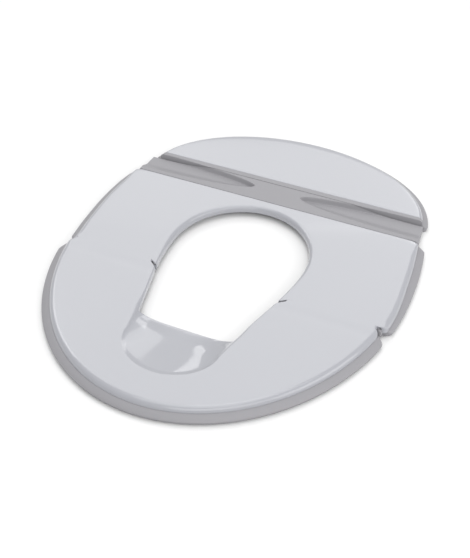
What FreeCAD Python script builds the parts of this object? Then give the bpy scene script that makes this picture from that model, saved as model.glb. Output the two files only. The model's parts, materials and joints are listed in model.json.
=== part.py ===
import FreeCAD, Part
import math
import os

# Folding travel seat insert for a toilet, lying open and flat, in millimetres.
# +X is the sitter's right seen from the front, +Y points to the rear, +Z is up.
# The origin is on the floor, under the middle of the whole outline.
# Three stiff panels fold in a Z: the front panel folds up and over the middle one about a web in the
# top skin, and the rear flap folds down and under the middle one about a web in the bottom.

# --- Plan of the ring (middle and front panels) ---
RING_CENTRE_Y = -4.6
RING_HALF_WIDTH = 152.4
RING_REAR_REACH = 249.7
REAR_BAND = 11.7
FRONT_BAND = 31.8
FOLD_Y = -41.5

# --- Plan of the opening ---
OPENING_CENTRE_Y = 1.5
OPENING_HALF_WIDTH = 63.1
OPENING_REAR_REACH = 67.9
OPENING_SIDE_RADIUS = 217.5
OPENING_SIDE_TURN = 13.5
OPENING_FRONT_Y = -102.5

# --- Splash scoop at the front of the opening ---
SCOOP_STRAIGHT = 23.9
SCOOP_STEP = 0.27
SCOOP_REACH = 37.8
SCOOP_EDGE_DROP = 6.1
SCOOP_MIDDLE_DROP = 4.6

# --- Plan of the rear flap and the bridge in front of it ---
BRIDGE_DEPTH = 30.4
BRIDGE_FRONT_STEP = 0.65
BRIDGE_REAR_STEP = 0.2
FLAP_STEP = 3.95
FLAP_ARC_SETBACK = 11.7
FLAP_REACH = 96.1
FLAP_LEDGE = 6.1
CHANNEL_LEDGE = 4.4
CHANNEL_SLOPE = 12.2
CHANNEL_DEPTH = 6.1
CHANNEL_TIP_RADIUS_Y = 15.0
CHANNEL_SETBACK = 17.2
CENTRE_PAD_LEFT = 28.0
CENTRE_PAD_RIGHT = 22.0

# --- Heights and walls ---
SEAT_TOP = 11.6
SKIN = 2.2
TOP_ROUND = 5.0
RIM_ROUND = 4.8
RIM_DEPTH = 6.5
SKIRT_WIDTH = 6.5
SKIRT_FALL = 2.6
LIP_BOTTOM = 0.6
LIP_WIDTH = 6.0
PLATE_BOTTOM = 1.4
PLATE_THICKNESS = 1.6
RIB_SETBACK = 5.0
RIB_THICKNESS = 2.0
RIB_CLEARANCE = 0.15

# --- Hinges ---
FOLD_SEAM = 0.6
FOLD_WEB_THICKNESS = 0.5
FOLD_WEB_REACH = 2.6
FOLD_WEB_END_GAP = 2.0
FLAP_SEAM = 0.8
FLAP_WEB_THICKNESS = 0.8
FLAP_WEB_REACH = 4.0
FLAP_WEB_END_GAP = 9.0
FLAP_CORNER_RELIEF = 3.0

# --- Notches at the fold ---
NOTCH_FRONT_REACH = 9.0
NOTCH_REAR_REACH = 0.8
INNER_NOTCH_DEPTH = 8.0
OUTER_NOTCH_DEPTH = 4.5
SKIRT_GAP_FRONT = 7.5
SKIRT_GAP_REAR = 1.0
SKIRT_END_RADIUS = 3.6

# --- Rubber pads and screws ---
PAD_LENGTH = 36.0
PAD_WIDTH = 15.0
PAD_CORNER = 5.0
MIDDLE_PAD_SETBACK = 37.5
FRONT_PAD_SETBACK = 56.5
FLAP_PAD_SETBACK = 24.5
FLAP_PAD_INSET = 49.0
SCREW_RADIUS = 1.5
SCREW_HEAD_RADIUS = 3.2
SCREW_HEAD_HEIGHT = 1.5
SCREW_TOP_GAP = 0.4
BOSS_RADIUS = 3.6
DRIVE_RADIUS = 1.3
DRIVE_DEPTH = 0.9
SCREW_EDGE_INSET = 19.6
SCREW_RIM_INSET = 18.7
SCREW_FOLD_INSET = 19.0
REAR_SCREW_X = 45.0
REAR_SCREW_INSET = 6.6
SIDE_SCREW_SETBACK = 29.0
BRIDGE_SCREW_X = 12.0
HINGE_SCREW_SETBACK = 12.5
FLAP_SCREW_ANGLES = (20.0, 63.0, 90.0, 117.0, 160.0)

# --- Heights and places worked out from the sizes above ---
UNDER_SKIN = SEAT_TOP - SKIN
CREVICE = SEAT_TOP - TOP_ROUND
RIM_BOTTOM = SEAT_TOP - RIM_DEPTH
PLATE_TOP = PLATE_BOTTOM + PLATE_THICKNESS
SCOOP_BOTTOM = SEAT_TOP - SCOOP_EDGE_DROP - SKIN
CHANNEL_FLOOR = SEAT_TOP - CHANNEL_DEPTH
SIDE_TURN = math.radians(OPENING_SIDE_TURN)
SCOOP_CENTRE_Y = OPENING_FRONT_Y - SCOOP_STRAIGHT
SCOOP_FRONT_Y = SCOOP_CENTRE_Y - SCOOP_REACH
RING_REAR_Y = OPENING_CENTRE_Y + OPENING_REAR_REACH + REAR_BAND
RING_FRONT_REACH = RING_CENTRE_Y - SCOOP_FRONT_Y + FRONT_BAND
FRONT_END_Y = FOLD_Y - FOLD_SEAM / 2
MIDDLE_FRONT_Y = FOLD_Y + FOLD_SEAM / 2
FLAP_HINGE_Y = RING_REAR_Y + BRIDGE_DEPTH
BRIDGE_REAR_Y = FLAP_HINGE_Y - FLAP_SEAM / 2
FLAP_FRONT_Y = FLAP_HINGE_Y + FLAP_SEAM / 2
FLAP_PANEL_Y = FLAP_HINGE_Y + FLAP_LEDGE
FLAP_CENTRE_Y = FLAP_HINGE_Y - FLAP_ARC_SETBACK
CHANNEL_CENTRE_Y = RING_REAR_Y + CHANNEL_SETBACK
FRONT_CENTRE_PAD_Y = SCOOP_FRONT_Y - FRONT_BAND / 2
FAR = 400.0
MERGE = 0.5


def opening_half_width(y, grow=0.0):
    """Half the opening's width at y, on its curved and then straight sides."""
    radius = OPENING_SIDE_RADIUS + grow
    centre_x = OPENING_HALF_WIDTH - OPENING_SIDE_RADIUS
    bend_y = OPENING_CENTRE_Y - radius * math.sin(SIDE_TURN)
    if y > bend_y:
        return centre_x + math.sqrt(radius ** 2 - (y - OPENING_CENTRE_Y) ** 2)
    return centre_x + radius * math.cos(SIDE_TURN) - (bend_y - y) * math.tan(SIDE_TURN)


def ring_edge_x(y, grow=0.0):
    """Half the ring's width at y."""
    reach = RING_REAR_REACH if y > RING_CENTRE_Y else RING_FRONT_REACH
    share = (y - RING_CENTRE_Y) / (reach + grow)
    return (RING_HALF_WIDTH + grow) * math.sqrt(1 - share ** 2)


def flap_edge_x(y):
    """Half the flap's width at y."""
    return FLAP_HALF_WIDTH * math.sqrt(1 - ((y - FLAP_CENTRE_Y) / FLAP_REACH) ** 2)


# --- Widths worked out from the outlines ---
SCOOP_REAR_X = opening_half_width(OPENING_FRONT_Y) + RIM_ROUND - SCOOP_STEP
SCOOP_HALF_WIDTH = SCOOP_REAR_X - SCOOP_STRAIGHT * math.tan(SIDE_TURN)
FLAP_HALF_WIDTH = ring_edge_x(RING_REAR_Y) - FLAP_STEP
BRIDGE_FRONT_HALF_WIDTH = ring_edge_x(RING_REAR_Y) - BRIDGE_FRONT_STEP
BRIDGE_REAR_HALF_WIDTH = FLAP_HALF_WIDTH - BRIDGE_REAR_STEP


def mirrored(points):
    """The points on the right, and the same points on the left."""
    return points + [(-x, y) for x, y in points]


def near_edge(y):
    """A screw's place at y, inside the ring's outer edge."""
    return ring_edge_x(y) - SCREW_EDGE_INSET, y


def near_rim(y):
    """A screw's place at y, outside the opening's edge."""
    return opening_half_width(y) + SCREW_RIM_INSET, y


def mid_band(y):
    """The middle of the ring's side at y."""
    return (opening_half_width(y) + ring_edge_x(y)) / 2


def flap_screw(angle):
    """A screw's place inside the flap's curved edge, at an angle in degrees from +X."""
    turn = math.radians(angle)
    x = (FLAP_HALF_WIDTH - SCREW_EDGE_INSET) * math.cos(turn)
    y = FLAP_CENTRE_Y + (FLAP_REACH - SCREW_EDGE_INSET) * math.sin(turn)
    return x, y


MIDDLE_SCREWS = mirrored([
    near_edge(FOLD_Y + SCREW_FOLD_INSET),
    near_edge(RING_REAR_Y - SIDE_SCREW_SETBACK),
    near_rim(FOLD_Y + SCREW_FOLD_INSET),
    (REAR_SCREW_X, RING_REAR_Y - REAR_SCREW_INSET),
])
BRIDGE_SCREWS = mirrored([(BRIDGE_SCREW_X, RING_REAR_Y + CHANNEL_LEDGE + CHANNEL_SLOPE + BOSS_RADIUS)])
FRONT_SCREWS = mirrored([
    near_edge(FOLD_Y - SCREW_FOLD_INSET),
    near_edge(SCOOP_CENTRE_Y),
    near_edge(FRONT_CENTRE_PAD_Y + PAD_WIDTH / 2),
    near_rim(FOLD_Y - SCREW_FOLD_INSET),
])
FLAP_SCREWS = [(0.0, FLAP_HINGE_Y + HINGE_SCREW_SETBACK)] + [flap_screw(angle) for angle in FLAP_SCREW_ANGLES]


def vec(x, y, z=0.0):
    return FreeCAD.Vector(x, y, z)


def box(x_low, x_high, y_low, y_high, z_low, z_high):
    return Part.makeBox(x_high - x_low, y_high - y_low, z_high - z_low, vec(x_low, y_low, z_low))


def line(start, end):
    return Part.LineSegment(start, end).toShape()


def prism(edges, z_low, z_high):
    """A solid between two heights over the plan that the edges close at z = 0."""
    wire = Part.Wire(Part.__sortEdges__(edges))
    face = Part.Face(wire)
    face.translate(vec(0, 0, z_low))
    return face.extrude(vec(0, 0, z_high - z_low))


def ellipse_arc(half_width, reach, centre_y, start, end):
    """Arc of an upright ellipse, from start to end degrees, counted from +X towards +Y."""
    centre = vec(0, centre_y)
    side = vec(half_width, centre_y)
    tip = vec(0, centre_y + reach)
    if reach > half_width:
        ellipse = Part.Ellipse(tip, vec(-half_width, centre_y), centre)
        shift = 90.0
    else:
        ellipse = Part.Ellipse(side, tip, centre)
        shift = 0.0
    first = math.radians(start - shift)
    last = math.radians(end - shift)
    return Part.ArcOfEllipse(ellipse, first, last).toShape()


def ring_prism(grow, z_low, z_high, rear_y=RING_REAR_Y):
    """The ring's outer outline, grown outwards, without its opening."""
    half_width = RING_HALF_WIDTH + grow
    front_reach = RING_FRONT_REACH + grow
    rear_reach = RING_REAR_REACH + grow
    rise = math.degrees(math.asin((rear_y - RING_CENTRE_Y) / rear_reach))
    corner = half_width * math.cos(math.radians(rise))
    edges = [
        ellipse_arc(half_width, rear_reach, RING_CENTRE_Y, 0, rise),
        line(vec(corner, rear_y), vec(-corner, rear_y)),
        ellipse_arc(half_width, rear_reach, RING_CENTRE_Y, 180 - rise, 180),
        ellipse_arc(half_width, front_reach, RING_CENTRE_Y, 180, 360),
    ]
    return prism(edges, z_low, z_high)


def flap_prism(grow, front_y, z_low, z_high):
    """The flap's crescent outline, grown outwards and cut straight at front_y."""
    half_width = FLAP_HALF_WIDTH + grow
    reach = FLAP_REACH + grow
    rise = math.degrees(math.asin((front_y - FLAP_CENTRE_Y) / reach))
    corner = half_width * math.cos(math.radians(rise))
    edges = [
        ellipse_arc(half_width, reach, FLAP_CENTRE_Y, rise, 180 - rise),
        line(vec(-corner, front_y), vec(corner, front_y)),
    ]
    return prism(edges, z_low, z_high)


def opening_prism(grow, front_y, z_low, z_high):
    """The opening's outline, grown outwards: an arch at the rear, tapered sides, a straight front."""
    half_width = OPENING_HALF_WIDTH + grow
    reach = OPENING_REAR_REACH + grow
    radius = OPENING_SIDE_RADIUS + grow
    centre_x = OPENING_HALF_WIDTH - OPENING_SIDE_RADIUS
    front_x = opening_half_width(front_y, grow)
    edges = [ellipse_arc(half_width, reach, OPENING_CENTRE_Y, 0, 180)]
    for side in (1, -1):
        points = []
        for part in (0.0, 0.5, 1.0):
            x = centre_x + radius * math.cos(SIDE_TURN * part)
            y = OPENING_CENTRE_Y - radius * math.sin(SIDE_TURN * part)
            points.append(vec(side * x, y))
        edges.append(Part.Arc(points[0], points[1], points[2]).toShape())
        edges.append(line(points[2], vec(side * front_x, front_y)))
    edges.append(line(vec(-front_x, front_y), vec(front_x, front_y)))
    return prism(edges, z_low, z_high)


def scoop_prism(grow, rear_y, z_low, z_high):
    """The scoop's outline: a half ellipse whose sides lean outwards up to rear_y."""
    half_width = SCOOP_HALF_WIDTH + grow
    lean = (rear_y - SCOOP_CENTRE_Y) * math.tan(SIDE_TURN)
    rear_x = half_width + lean
    edges = [
        ellipse_arc(half_width, SCOOP_REACH + grow, SCOOP_CENTRE_Y, 180, 360),
        line(vec(half_width, SCOOP_CENTRE_Y), vec(rear_x, rear_y)),
        line(vec(rear_x, rear_y), vec(-rear_x, rear_y)),
        line(vec(-rear_x, rear_y), vec(-half_width, SCOOP_CENTRE_Y)),
    ]
    return prism(edges, z_low, z_high)


def above_scoop_floor(drop):
    """Everything over the scoop's curved floor, with the floor lowered by drop."""
    middle_y = (OPENING_FRONT_Y + SCOOP_FRONT_Y) / 2
    rear = vec(-FAR, OPENING_FRONT_Y, SEAT_TOP - SCOOP_EDGE_DROP - drop)
    middle = vec(-FAR, middle_y, SEAT_TOP - SCOOP_MIDDLE_DROP - drop)
    front = vec(-FAR, SCOOP_FRONT_Y, SEAT_TOP - drop)
    beyond = vec(-FAR, SCOOP_FRONT_Y - SKIN - MERGE, SEAT_TOP - drop)
    top_front = vec(-FAR, beyond.y, SEAT_TOP + SKIN)
    top_rear = vec(-FAR, OPENING_FRONT_Y, SEAT_TOP + SKIN)
    edges = [
        Part.Arc(rear, middle, front).toShape(),
        line(front, beyond),
        line(beyond, top_front),
        line(top_front, top_rear),
        line(top_rear, rear),
    ]
    face = Part.Face(Part.Wire(Part.__sortEdges__(edges)))
    return face.extrude(vec(2 * FAR, 0, 0))


def top_edges(solid, height, keep):
    """Edges that lie flat at the height and whose middle passes the keep test."""
    found = []
    for edge in solid.Edges:
        bounds = edge.BoundBox
        flat = abs(bounds.ZMin - height) < 0.001 and abs(bounds.ZMax - height) < 0.001
        middle = edge.valueAt((edge.FirstParameter + edge.LastParameter) / 2)
        if flat and keep(middle):
            found.append(edge)
    return found


def inside_opening(point):
    return OPENING_FRONT_Y - MERGE < point.y < OPENING_CENTRE_Y + OPENING_REAR_REACH + MERGE and \
        abs(point.x) < OPENING_HALF_WIDTH + MERGE


def for_both_sides(make):
    """Fuse what make builds on the right, 1, and on the left, -1."""
    return make(1).fuse(make(-1))


def notch(apex_x, edge_x, far_x, grow, z_low, z_high):
    """A wedge at the fold, cut into the front panel's corner, on both sides. grow widens it all round."""
    rear_y = FOLD_Y + NOTCH_REAR_REACH + grow
    apex_y = FOLD_Y - FOLD_SEAM - grow
    front_y = FOLD_Y - NOTCH_FRONT_REACH - grow
    outwards = 1 if far_x > apex_x else -1
    apex_x = apex_x - outwards * grow
    corners = [
        vec(far_x, rear_y),
        vec(apex_x, rear_y),
        vec(apex_x, apex_y),
        vec(edge_x, front_y),
        vec(far_x, front_y),
    ]
    edges = [line(corners[i], corners[(i + 1) % 5]) for i in range(5)]
    wedge = prism(edges, z_low, z_high)
    return wedge.fuse(wedge.mirror(vec(0, 0), vec(1, 0)))


def inner_notch(grow):
    """The notches at the opening's edge, through the whole thickness, that end the folding web."""
    edge_x = opening_half_width(FOLD_Y)
    apex_x = edge_x + INNER_NOTCH_DEPTH
    return notch(apex_x, edge_x, edge_x - INNER_NOTCH_DEPTH, grow, -MERGE, SEAT_TOP + MERGE)


def outer_notch(grow, z_low=CREVICE - MERGE):
    """The notches in the light skin's outer edge."""
    edge_x = ring_edge_x(FOLD_Y)
    far_x = edge_x + SKIRT_WIDTH + SKIN
    return notch(edge_x - OUTER_NOTCH_DEPTH, edge_x, far_x, grow, z_low, SEAT_TOP + MERGE)


def web_rebate(side):
    """The shallow step in the top skin that the folding web lies in."""
    low = opening_half_width(FOLD_Y) + INNER_NOTCH_DEPTH
    high = ring_edge_x(FOLD_Y) - OUTER_NOTCH_DEPTH
    ends = sorted((side * low, side * high))
    step = SEAT_TOP - FOLD_WEB_THICKNESS
    return box(ends[0], ends[1], FOLD_Y - FOLD_WEB_REACH, FOLD_Y + FOLD_WEB_REACH, step, SEAT_TOP + MERGE)


def boss(point, z_low, z_high):
    return Part.makeCylinder(BOSS_RADIUS, z_high - z_low, vec(point[0], point[1], z_low))


def pilot_hole(point):
    top = UNDER_SKIN - SCREW_TOP_GAP
    return Part.makeCylinder(SCREW_RADIUS, top, vec(point[0], point[1], 0))


def screw_head(point):
    return Part.makeCone(SCREW_HEAD_RADIUS, SCREW_RADIUS, SCREW_HEAD_HEIGHT, vec(point[0], point[1], PLATE_BOTTOM))


def ring_shell_whole():
    """Both light ring panels as one moulding, before it is parted at the fold."""
    outer = ring_prism(0.0, SCOOP_BOTTOM, SEAT_TOP)
    curved = top_edges(outer, SEAT_TOP, lambda middle: middle.y < RING_REAR_Y - MERGE)
    outer = outer.makeFillet(TOP_ROUND, curved)
    outer = outer.cut(opening_prism(0.0, OPENING_FRONT_Y, SCOOP_BOTTOM - MERGE, SEAT_TOP + MERGE))
    outer = outer.makeFillet(RIM_ROUND, top_edges(outer, SEAT_TOP, inside_opening))
    pan = scoop_prism(SKIN, OPENING_FRONT_Y, 0, SEAT_TOP).common(above_scoop_floor(SKIN))
    hollow = ring_prism(-SKIN, 0, UNDER_SKIN, RING_REAR_Y - SKIN)
    hollow = hollow.cut(opening_prism(SKIN, OPENING_FRONT_Y - SKIN, 0, UNDER_SKIN))
    wall = SKIN + FOLD_SEAM / 2
    hollow = hollow.cut(box(-FAR, FAR, FOLD_Y - wall, FOLD_Y + wall, 0, UNDER_SKIN))
    hollow = hollow.cut(inner_notch(SKIN))
    hollow = hollow.cut(outer_notch(SKIN, -MERGE))
    below_rim = box(-FAR, FAR, -FAR, FAR, 0, RIM_BOTTOM)
    below_crevice = box(-FAR, FAR, -FAR, FAR, 0, CREVICE).cut(ring_prism(-SKIN, 0, CREVICE, RING_REAR_Y - SKIN))
    waste = hollow.fuse([below_rim, below_crevice]).cut(pan)
    shell = outer.cut(waste)
    scoop = scoop_prism(0.0, OPENING_FRONT_Y, 0, SEAT_TOP + SKIN).common(above_scoop_floor(0.0))
    shell = shell.cut(scoop)
    shell = shell.cut(inner_notch(0.0))
    shell = shell.cut(outer_notch(0.0))
    return shell.cut(for_both_sides(web_rebate))


def with_bosses(shell, points):
    """Screw bosses under a light panel, each with its pilot hole."""
    for point in points:
        shell = shell.fuse(boss(point, PLATE_TOP, UNDER_SKIN + MERGE))
    for point in points:
        shell = shell.cut(pilot_hole(point))
    return shell


def middle_seat_shell(whole):
    panel = whole.common(box(-FAR, FAR, MIDDLE_FRONT_Y, FAR, 0, FAR))
    return with_bosses(panel, MIDDLE_SCREWS)


def front_seat_shell(whole):
    panel = whole.common(box(-FAR, FAR, -FAR, FRONT_END_Y, 0, FAR))
    return with_bosses(panel, FRONT_SCREWS)


def ring_base_whole():
    """The grey base ring: skirt bead, recessed floor plate, and a rib round the opening."""
    base = ring_prism(SKIRT_WIDTH, LIP_BOTTOM, CREVICE)
    outline = top_edges(base, CREVICE, lambda middle: middle.y < RING_REAR_Y - MERGE)
    base = base.makeFillet(SKIRT_FALL, outline)
    base = base.cut(ring_prism(-SKIN, PLATE_TOP, CREVICE + MERGE, RING_REAR_Y + MERGE))
    base = base.cut(ring_prism(SKIRT_WIDTH - LIP_WIDTH, 0, PLATE_BOTTOM, RING_REAR_Y + MERGE))
    rib_low = RIB_SETBACK
    rib_high = RIB_SETBACK + RIB_THICKNESS
    rib = base_hole(rib_high, PLATE_BOTTOM, UNDER_SKIN - RIB_CLEARANCE)
    rib = rib.cut(base_hole(rib_low, 0, FAR))
    rib = rib.cut(inner_notch(SKIN + RIB_CLEARANCE))
    walls = box(-FAR, FAR, FOLD_Y - FOLD_SEAM / 2 - SKIN, FOLD_Y + FOLD_SEAM / 2 + SKIN, LIP_BOTTOM, RIM_BOTTOM)
    walls = walls.common(ring_prism(0.0, LIP_BOTTOM, RIM_BOTTOM))
    base = base.fuse([rib, walls])
    base = base.cut(base_hole(rib_low, 0, FAR))
    base = base.cut(inner_notch(RIB_CLEARANCE))
    return base.cut(for_both_sides(skirt_gap))


def base_hole(grow, z_low, z_high):
    """The opening and the scoop together, grown outwards."""
    opening = opening_prism(grow, OPENING_FRONT_Y - grow, z_low, z_high)
    return opening.fuse(scoop_prism(grow, OPENING_FRONT_Y, z_low, z_high))


def skirt_gap(side):
    """The gap in the skirt at the fold, flared so that the skirt's ends are round in plan."""
    inner = ring_edge_x(FOLD_Y) - OUTER_NOTCH_DEPTH
    outer = inner + OUTER_NOTCH_DEPTH + SKIRT_WIDTH + SKIN
    gap = box(inner, outer, FOLD_Y - SKIRT_GAP_FRONT, FOLD_Y + SKIRT_GAP_REAR, -MERGE, SEAT_TOP)
    for end in (SKIRT_GAP_REAR + SKIRT_END_RADIUS, -SKIRT_GAP_FRONT - SKIRT_END_RADIUS):
        round_y = FOLD_Y + end
        round_x = ring_edge_x(round_y, SKIRT_WIDTH) - SKIRT_END_RADIUS
        low_y, high_y = sorted((FOLD_Y, round_y))
        corner = box(round_x, outer, low_y, high_y, -MERGE, SEAT_TOP)
        disc = Part.makeCylinder(SKIRT_END_RADIUS, FAR, vec(round_x, round_y, -FAR / 2))
        gap = gap.fuse(corner.cut(disc))
    if side < 0:
        gap = gap.mirror(vec(0, 0), vec(1, 0))
    return gap


def with_screw_seats(base, points):
    for point in points:
        base = base.cut(screw_head(point))
        base = base.cut(Part.makeCylinder(SCREW_RADIUS, PLATE_TOP + MERGE, vec(point[0], point[1], 0)))
    return base


def middle_base(whole):
    """The middle panel's base, with a plate that runs on under the bridge to the flap's hinge."""
    base = whole.common(box(-FAR, FAR, MIDDLE_FRONT_Y, FAR, -FAR, FAR))
    tail = bridge_prism(PLATE_BOTTOM, PLATE_TOP)
    base = base.fuse(tail)
    return with_screw_seats(base, MIDDLE_SCREWS + BRIDGE_SCREWS)


def front_base(whole):
    base = whole.common(box(-FAR, FAR, -FAR, FRONT_END_Y, -FAR, FAR))
    return with_screw_seats(base, FRONT_SCREWS)


def bridge_prism(z_low, z_high):
    """The plan of the grey bridge between the ring and the flap's hinge."""
    corners = [
        vec(-BRIDGE_FRONT_HALF_WIDTH, RING_REAR_Y),
        vec(BRIDGE_FRONT_HALF_WIDTH, RING_REAR_Y),
        vec(BRIDGE_REAR_HALF_WIDTH, BRIDGE_REAR_Y),
        vec(-BRIDGE_REAR_HALF_WIDTH, BRIDGE_REAR_Y),
    ]
    edges = [line(corners[i], corners[(i + 1) % 4]) for i in range(4)]
    return prism(edges, z_low, z_high)


def channel_profile():
    """A long prism along X over the channel's slope and floor."""
    ledge_y = RING_REAR_Y + CHANNEL_LEDGE
    points = [
        vec(-FAR, ledge_y, SEAT_TOP),
        vec(-FAR, ledge_y + CHANNEL_SLOPE, CHANNEL_FLOOR),
        vec(-FAR, FLAP_FRONT_Y, CHANNEL_FLOOR),
        vec(-FAR, FLAP_FRONT_Y, SEAT_TOP + SKIN),
        vec(-FAR, ledge_y, SEAT_TOP + SKIN),
    ]
    wire = Part.makePolygon(points + [points[0]])
    return Part.Face(wire).extrude(vec(2 * FAR, 0, 0))


def channel(side, tip_x):
    """One finger channel: open at the outer end, rounded at its inner tip."""
    outer_x = BRIDGE_FRONT_HALF_WIDTH + CHANNEL_TIP_RADIUS_Y
    reach = outer_x - tip_x
    centre = vec(side * outer_x, CHANNEL_CENTRE_Y)
    ellipse = Part.Ellipse(centre, reach, CHANNEL_TIP_RADIUS_Y)
    plan = prism([ellipse.toShape()], 0, SEAT_TOP + SKIN)
    return plan.common(channel_profile())


def rear_bridge():
    """The grey bridge, with its two channels and a hollow underside in front of them."""
    body = bridge_prism(PLATE_TOP, SEAT_TOP)
    body = body.cut(channel(-1, CENTRE_PAD_LEFT))
    body = body.cut(channel(1, CENTRE_PAD_RIGHT))
    near = RING_REAR_Y + SKIN
    points = [
        vec(0, near, PLATE_TOP - MERGE),
        vec(0, near, UNDER_SKIN),
        vec(0, RING_REAR_Y + CHANNEL_LEDGE - SKIN / 2, UNDER_SKIN),
        vec(0, RING_REAR_Y + CHANNEL_LEDGE + CHANNEL_SLOPE - SKIN, CHANNEL_FLOOR - SKIN / 2),
        vec(0, RING_REAR_Y + CHANNEL_LEDGE + CHANNEL_SLOPE - SKIN, PLATE_TOP - MERGE),
    ]
    half = BRIDGE_REAR_HALF_WIDTH - SKIN
    hollow = Part.Face(Part.makePolygon(points + [points[0]])).extrude(vec(2 * half, 0, 0))
    hollow.translate(vec(-half, 0, 0))
    body = body.cut(hollow)
    for point in BRIDGE_SCREWS:
        body = body.cut(pilot_hole(point))
    return body


def flap_seat_shell():
    outer = flap_prism(0.0, FLAP_PANEL_Y, CREVICE, SEAT_TOP)
    curved = top_edges(outer, SEAT_TOP, lambda middle: middle.y > FLAP_PANEL_Y + MERGE)
    outer = outer.makeFillet(TOP_ROUND - MERGE, curved)
    panel = outer.cut(flap_prism(-SKIN, FLAP_PANEL_Y + SKIN, 0, UNDER_SKIN))
    return with_bosses(panel, FLAP_SCREWS)


def flap_base():
    """The flap's base: skirt bead, plate, and the grey wall and ledge along the hinge."""
    base = flap_prism(SKIRT_WIDTH, FLAP_FRONT_Y + FLAP_CORNER_RELIEF, LIP_BOTTOM, CREVICE)
    curved = top_edges(base, CREVICE, lambda middle: middle.y > FLAP_PANEL_Y)
    base = base.makeFillet(SKIRT_FALL, curved)
    base = base.cut(flap_prism(-SKIN, FLAP_FRONT_Y, PLATE_TOP, CREVICE + MERGE))
    ledge = flap_prism(0.0, FLAP_FRONT_Y, PLATE_BOTTOM, SEAT_TOP)
    ledge = ledge.common(box(-FAR, FAR, FLAP_FRONT_Y, FLAP_PANEL_Y, 0, FAR))
    pocket_half = FLAP_HALF_WIDTH - TOP_ROUND
    pocket = box(-pocket_half, pocket_half, FLAP_FRONT_Y + SKIN, FLAP_PANEL_Y + SKIN, PLATE_TOP, UNDER_SKIN)
    plate = flap_prism(0.0, FLAP_FRONT_Y, PLATE_BOTTOM, PLATE_TOP)
    base = base.fuse([ledge.cut(pocket), plate])
    recess = flap_prism(SKIRT_WIDTH - LIP_WIDTH, FLAP_FRONT_Y - MERGE, 0, PLATE_BOTTOM)
    base = base.cut(recess)
    return with_screw_seats(base, FLAP_SCREWS)


def fold_web(side):
    """One thin web in the top skin, across the fold seam."""
    low = opening_half_width(FOLD_Y) + INNER_NOTCH_DEPTH + FOLD_WEB_END_GAP
    high = ring_edge_x(FOLD_Y) - OUTER_NOTCH_DEPTH - FOLD_WEB_END_GAP
    ends = sorted((side * low, side * high))
    step = SEAT_TOP - FOLD_WEB_THICKNESS
    return box(ends[0], ends[1], FOLD_Y - FOLD_WEB_REACH, FOLD_Y + FOLD_WEB_REACH, step, SEAT_TOP)


def flap_web():
    """The long web under both plates, across the flap's hinge seam."""
    half = BRIDGE_REAR_HALF_WIDTH - FLAP_WEB_END_GAP
    low = PLATE_BOTTOM - FLAP_WEB_THICKNESS
    return box(-half, half, FLAP_HINGE_Y - FLAP_WEB_REACH, FLAP_HINGE_Y + FLAP_WEB_REACH, low, PLATE_BOTTOM)


def grip_pad(x, y):
    """A rubber pad under a plate, rounded in plan, that reaches the floor."""
    half_length = PAD_LENGTH / 2
    half_width = PAD_WIDTH / 2
    pad = box(x - half_length, x + half_length, y - half_width, y + half_width, 0, PLATE_BOTTOM)
    uprights = [edge for edge in pad.Edges if edge.BoundBox.ZLength > PLATE_BOTTOM / 2]
    return pad.makeFillet(PAD_CORNER, uprights)


def screw(point):
    """A countersunk screw, driven from below, with a round drive socket in its head."""
    x, y = point
    shank_low = PLATE_BOTTOM + SCREW_HEAD_HEIGHT
    shank_top = UNDER_SKIN - SCREW_TOP_GAP
    shank = Part.makeCylinder(SCREW_RADIUS, shank_top - shank_low, vec(x, y, shank_low))
    socket = Part.makeCylinder(DRIVE_RADIUS, DRIVE_DEPTH, vec(x, y, PLATE_BOTTOM))
    return screw_head(point).fuse(shank).cut(socket)


def screws(points):
    return Part.makeCompound([screw(point) for point in points])


def save(node, shape):
    clean = shape.removeSplitter()
    if not clean.isValid():
        raise ValueError(node + " is not a valid shape")
    clean.exportStep(os.path.join("parts", node + ".step"))


os.makedirs("parts", exist_ok=True)
ring_shell = ring_shell_whole()
ring_base = ring_base_whole()
save("middle_seat_shell", middle_seat_shell(ring_shell))
save("front_seat_shell", front_seat_shell(ring_shell))
save("flap_seat_shell", flap_seat_shell())
save("middle_base", middle_base(ring_base))
save("front_base", front_base(ring_base))
save("flap_base", flap_base())
save("rear_bridge", rear_bridge())
save("fold_web_right", fold_web(1))
save("fold_web_left", fold_web(-1))
save("flap_web", flap_web())
for side_name, side_sign in (("right", 1), ("left", -1)):
    middle_pad_y = FOLD_Y + MIDDLE_PAD_SETBACK
    front_pad_y = FOLD_Y - FRONT_PAD_SETBACK
    flap_pad_y = FLAP_HINGE_Y + FLAP_PAD_SETBACK
    save("middle_grip_pad_" + side_name, grip_pad(side_sign * mid_band(middle_pad_y), middle_pad_y))
    save("front_grip_pad_" + side_name, grip_pad(side_sign * mid_band(front_pad_y), front_pad_y))
    flap_pad_x = flap_edge_x(flap_pad_y) - FLAP_PAD_INSET
    save("flap_grip_pad_" + side_name, grip_pad(side_sign * flap_pad_x, flap_pad_y))
save("front_grip_pad_centre", grip_pad(0.0, FRONT_CENTRE_PAD_Y))
save("middle_screws", screws(MIDDLE_SCREWS + BRIDGE_SCREWS))
save("front_screws", screws(FRONT_SCREWS))
save("flap_screws", screws(FLAP_SCREWS))
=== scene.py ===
"""Looks of a folding travel toilet seat insert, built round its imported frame.

Lengths are in millimetres, in the frame's axes: +X to the right, +Y to the rear, +Z up. A mesh is
scaled to metres when it is written. Every surface is a grid of points worked out as whole arrays.
"""

import json
import logging
import math
from dataclasses import dataclass, field
from enum import Enum
from typing import Callable

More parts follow.
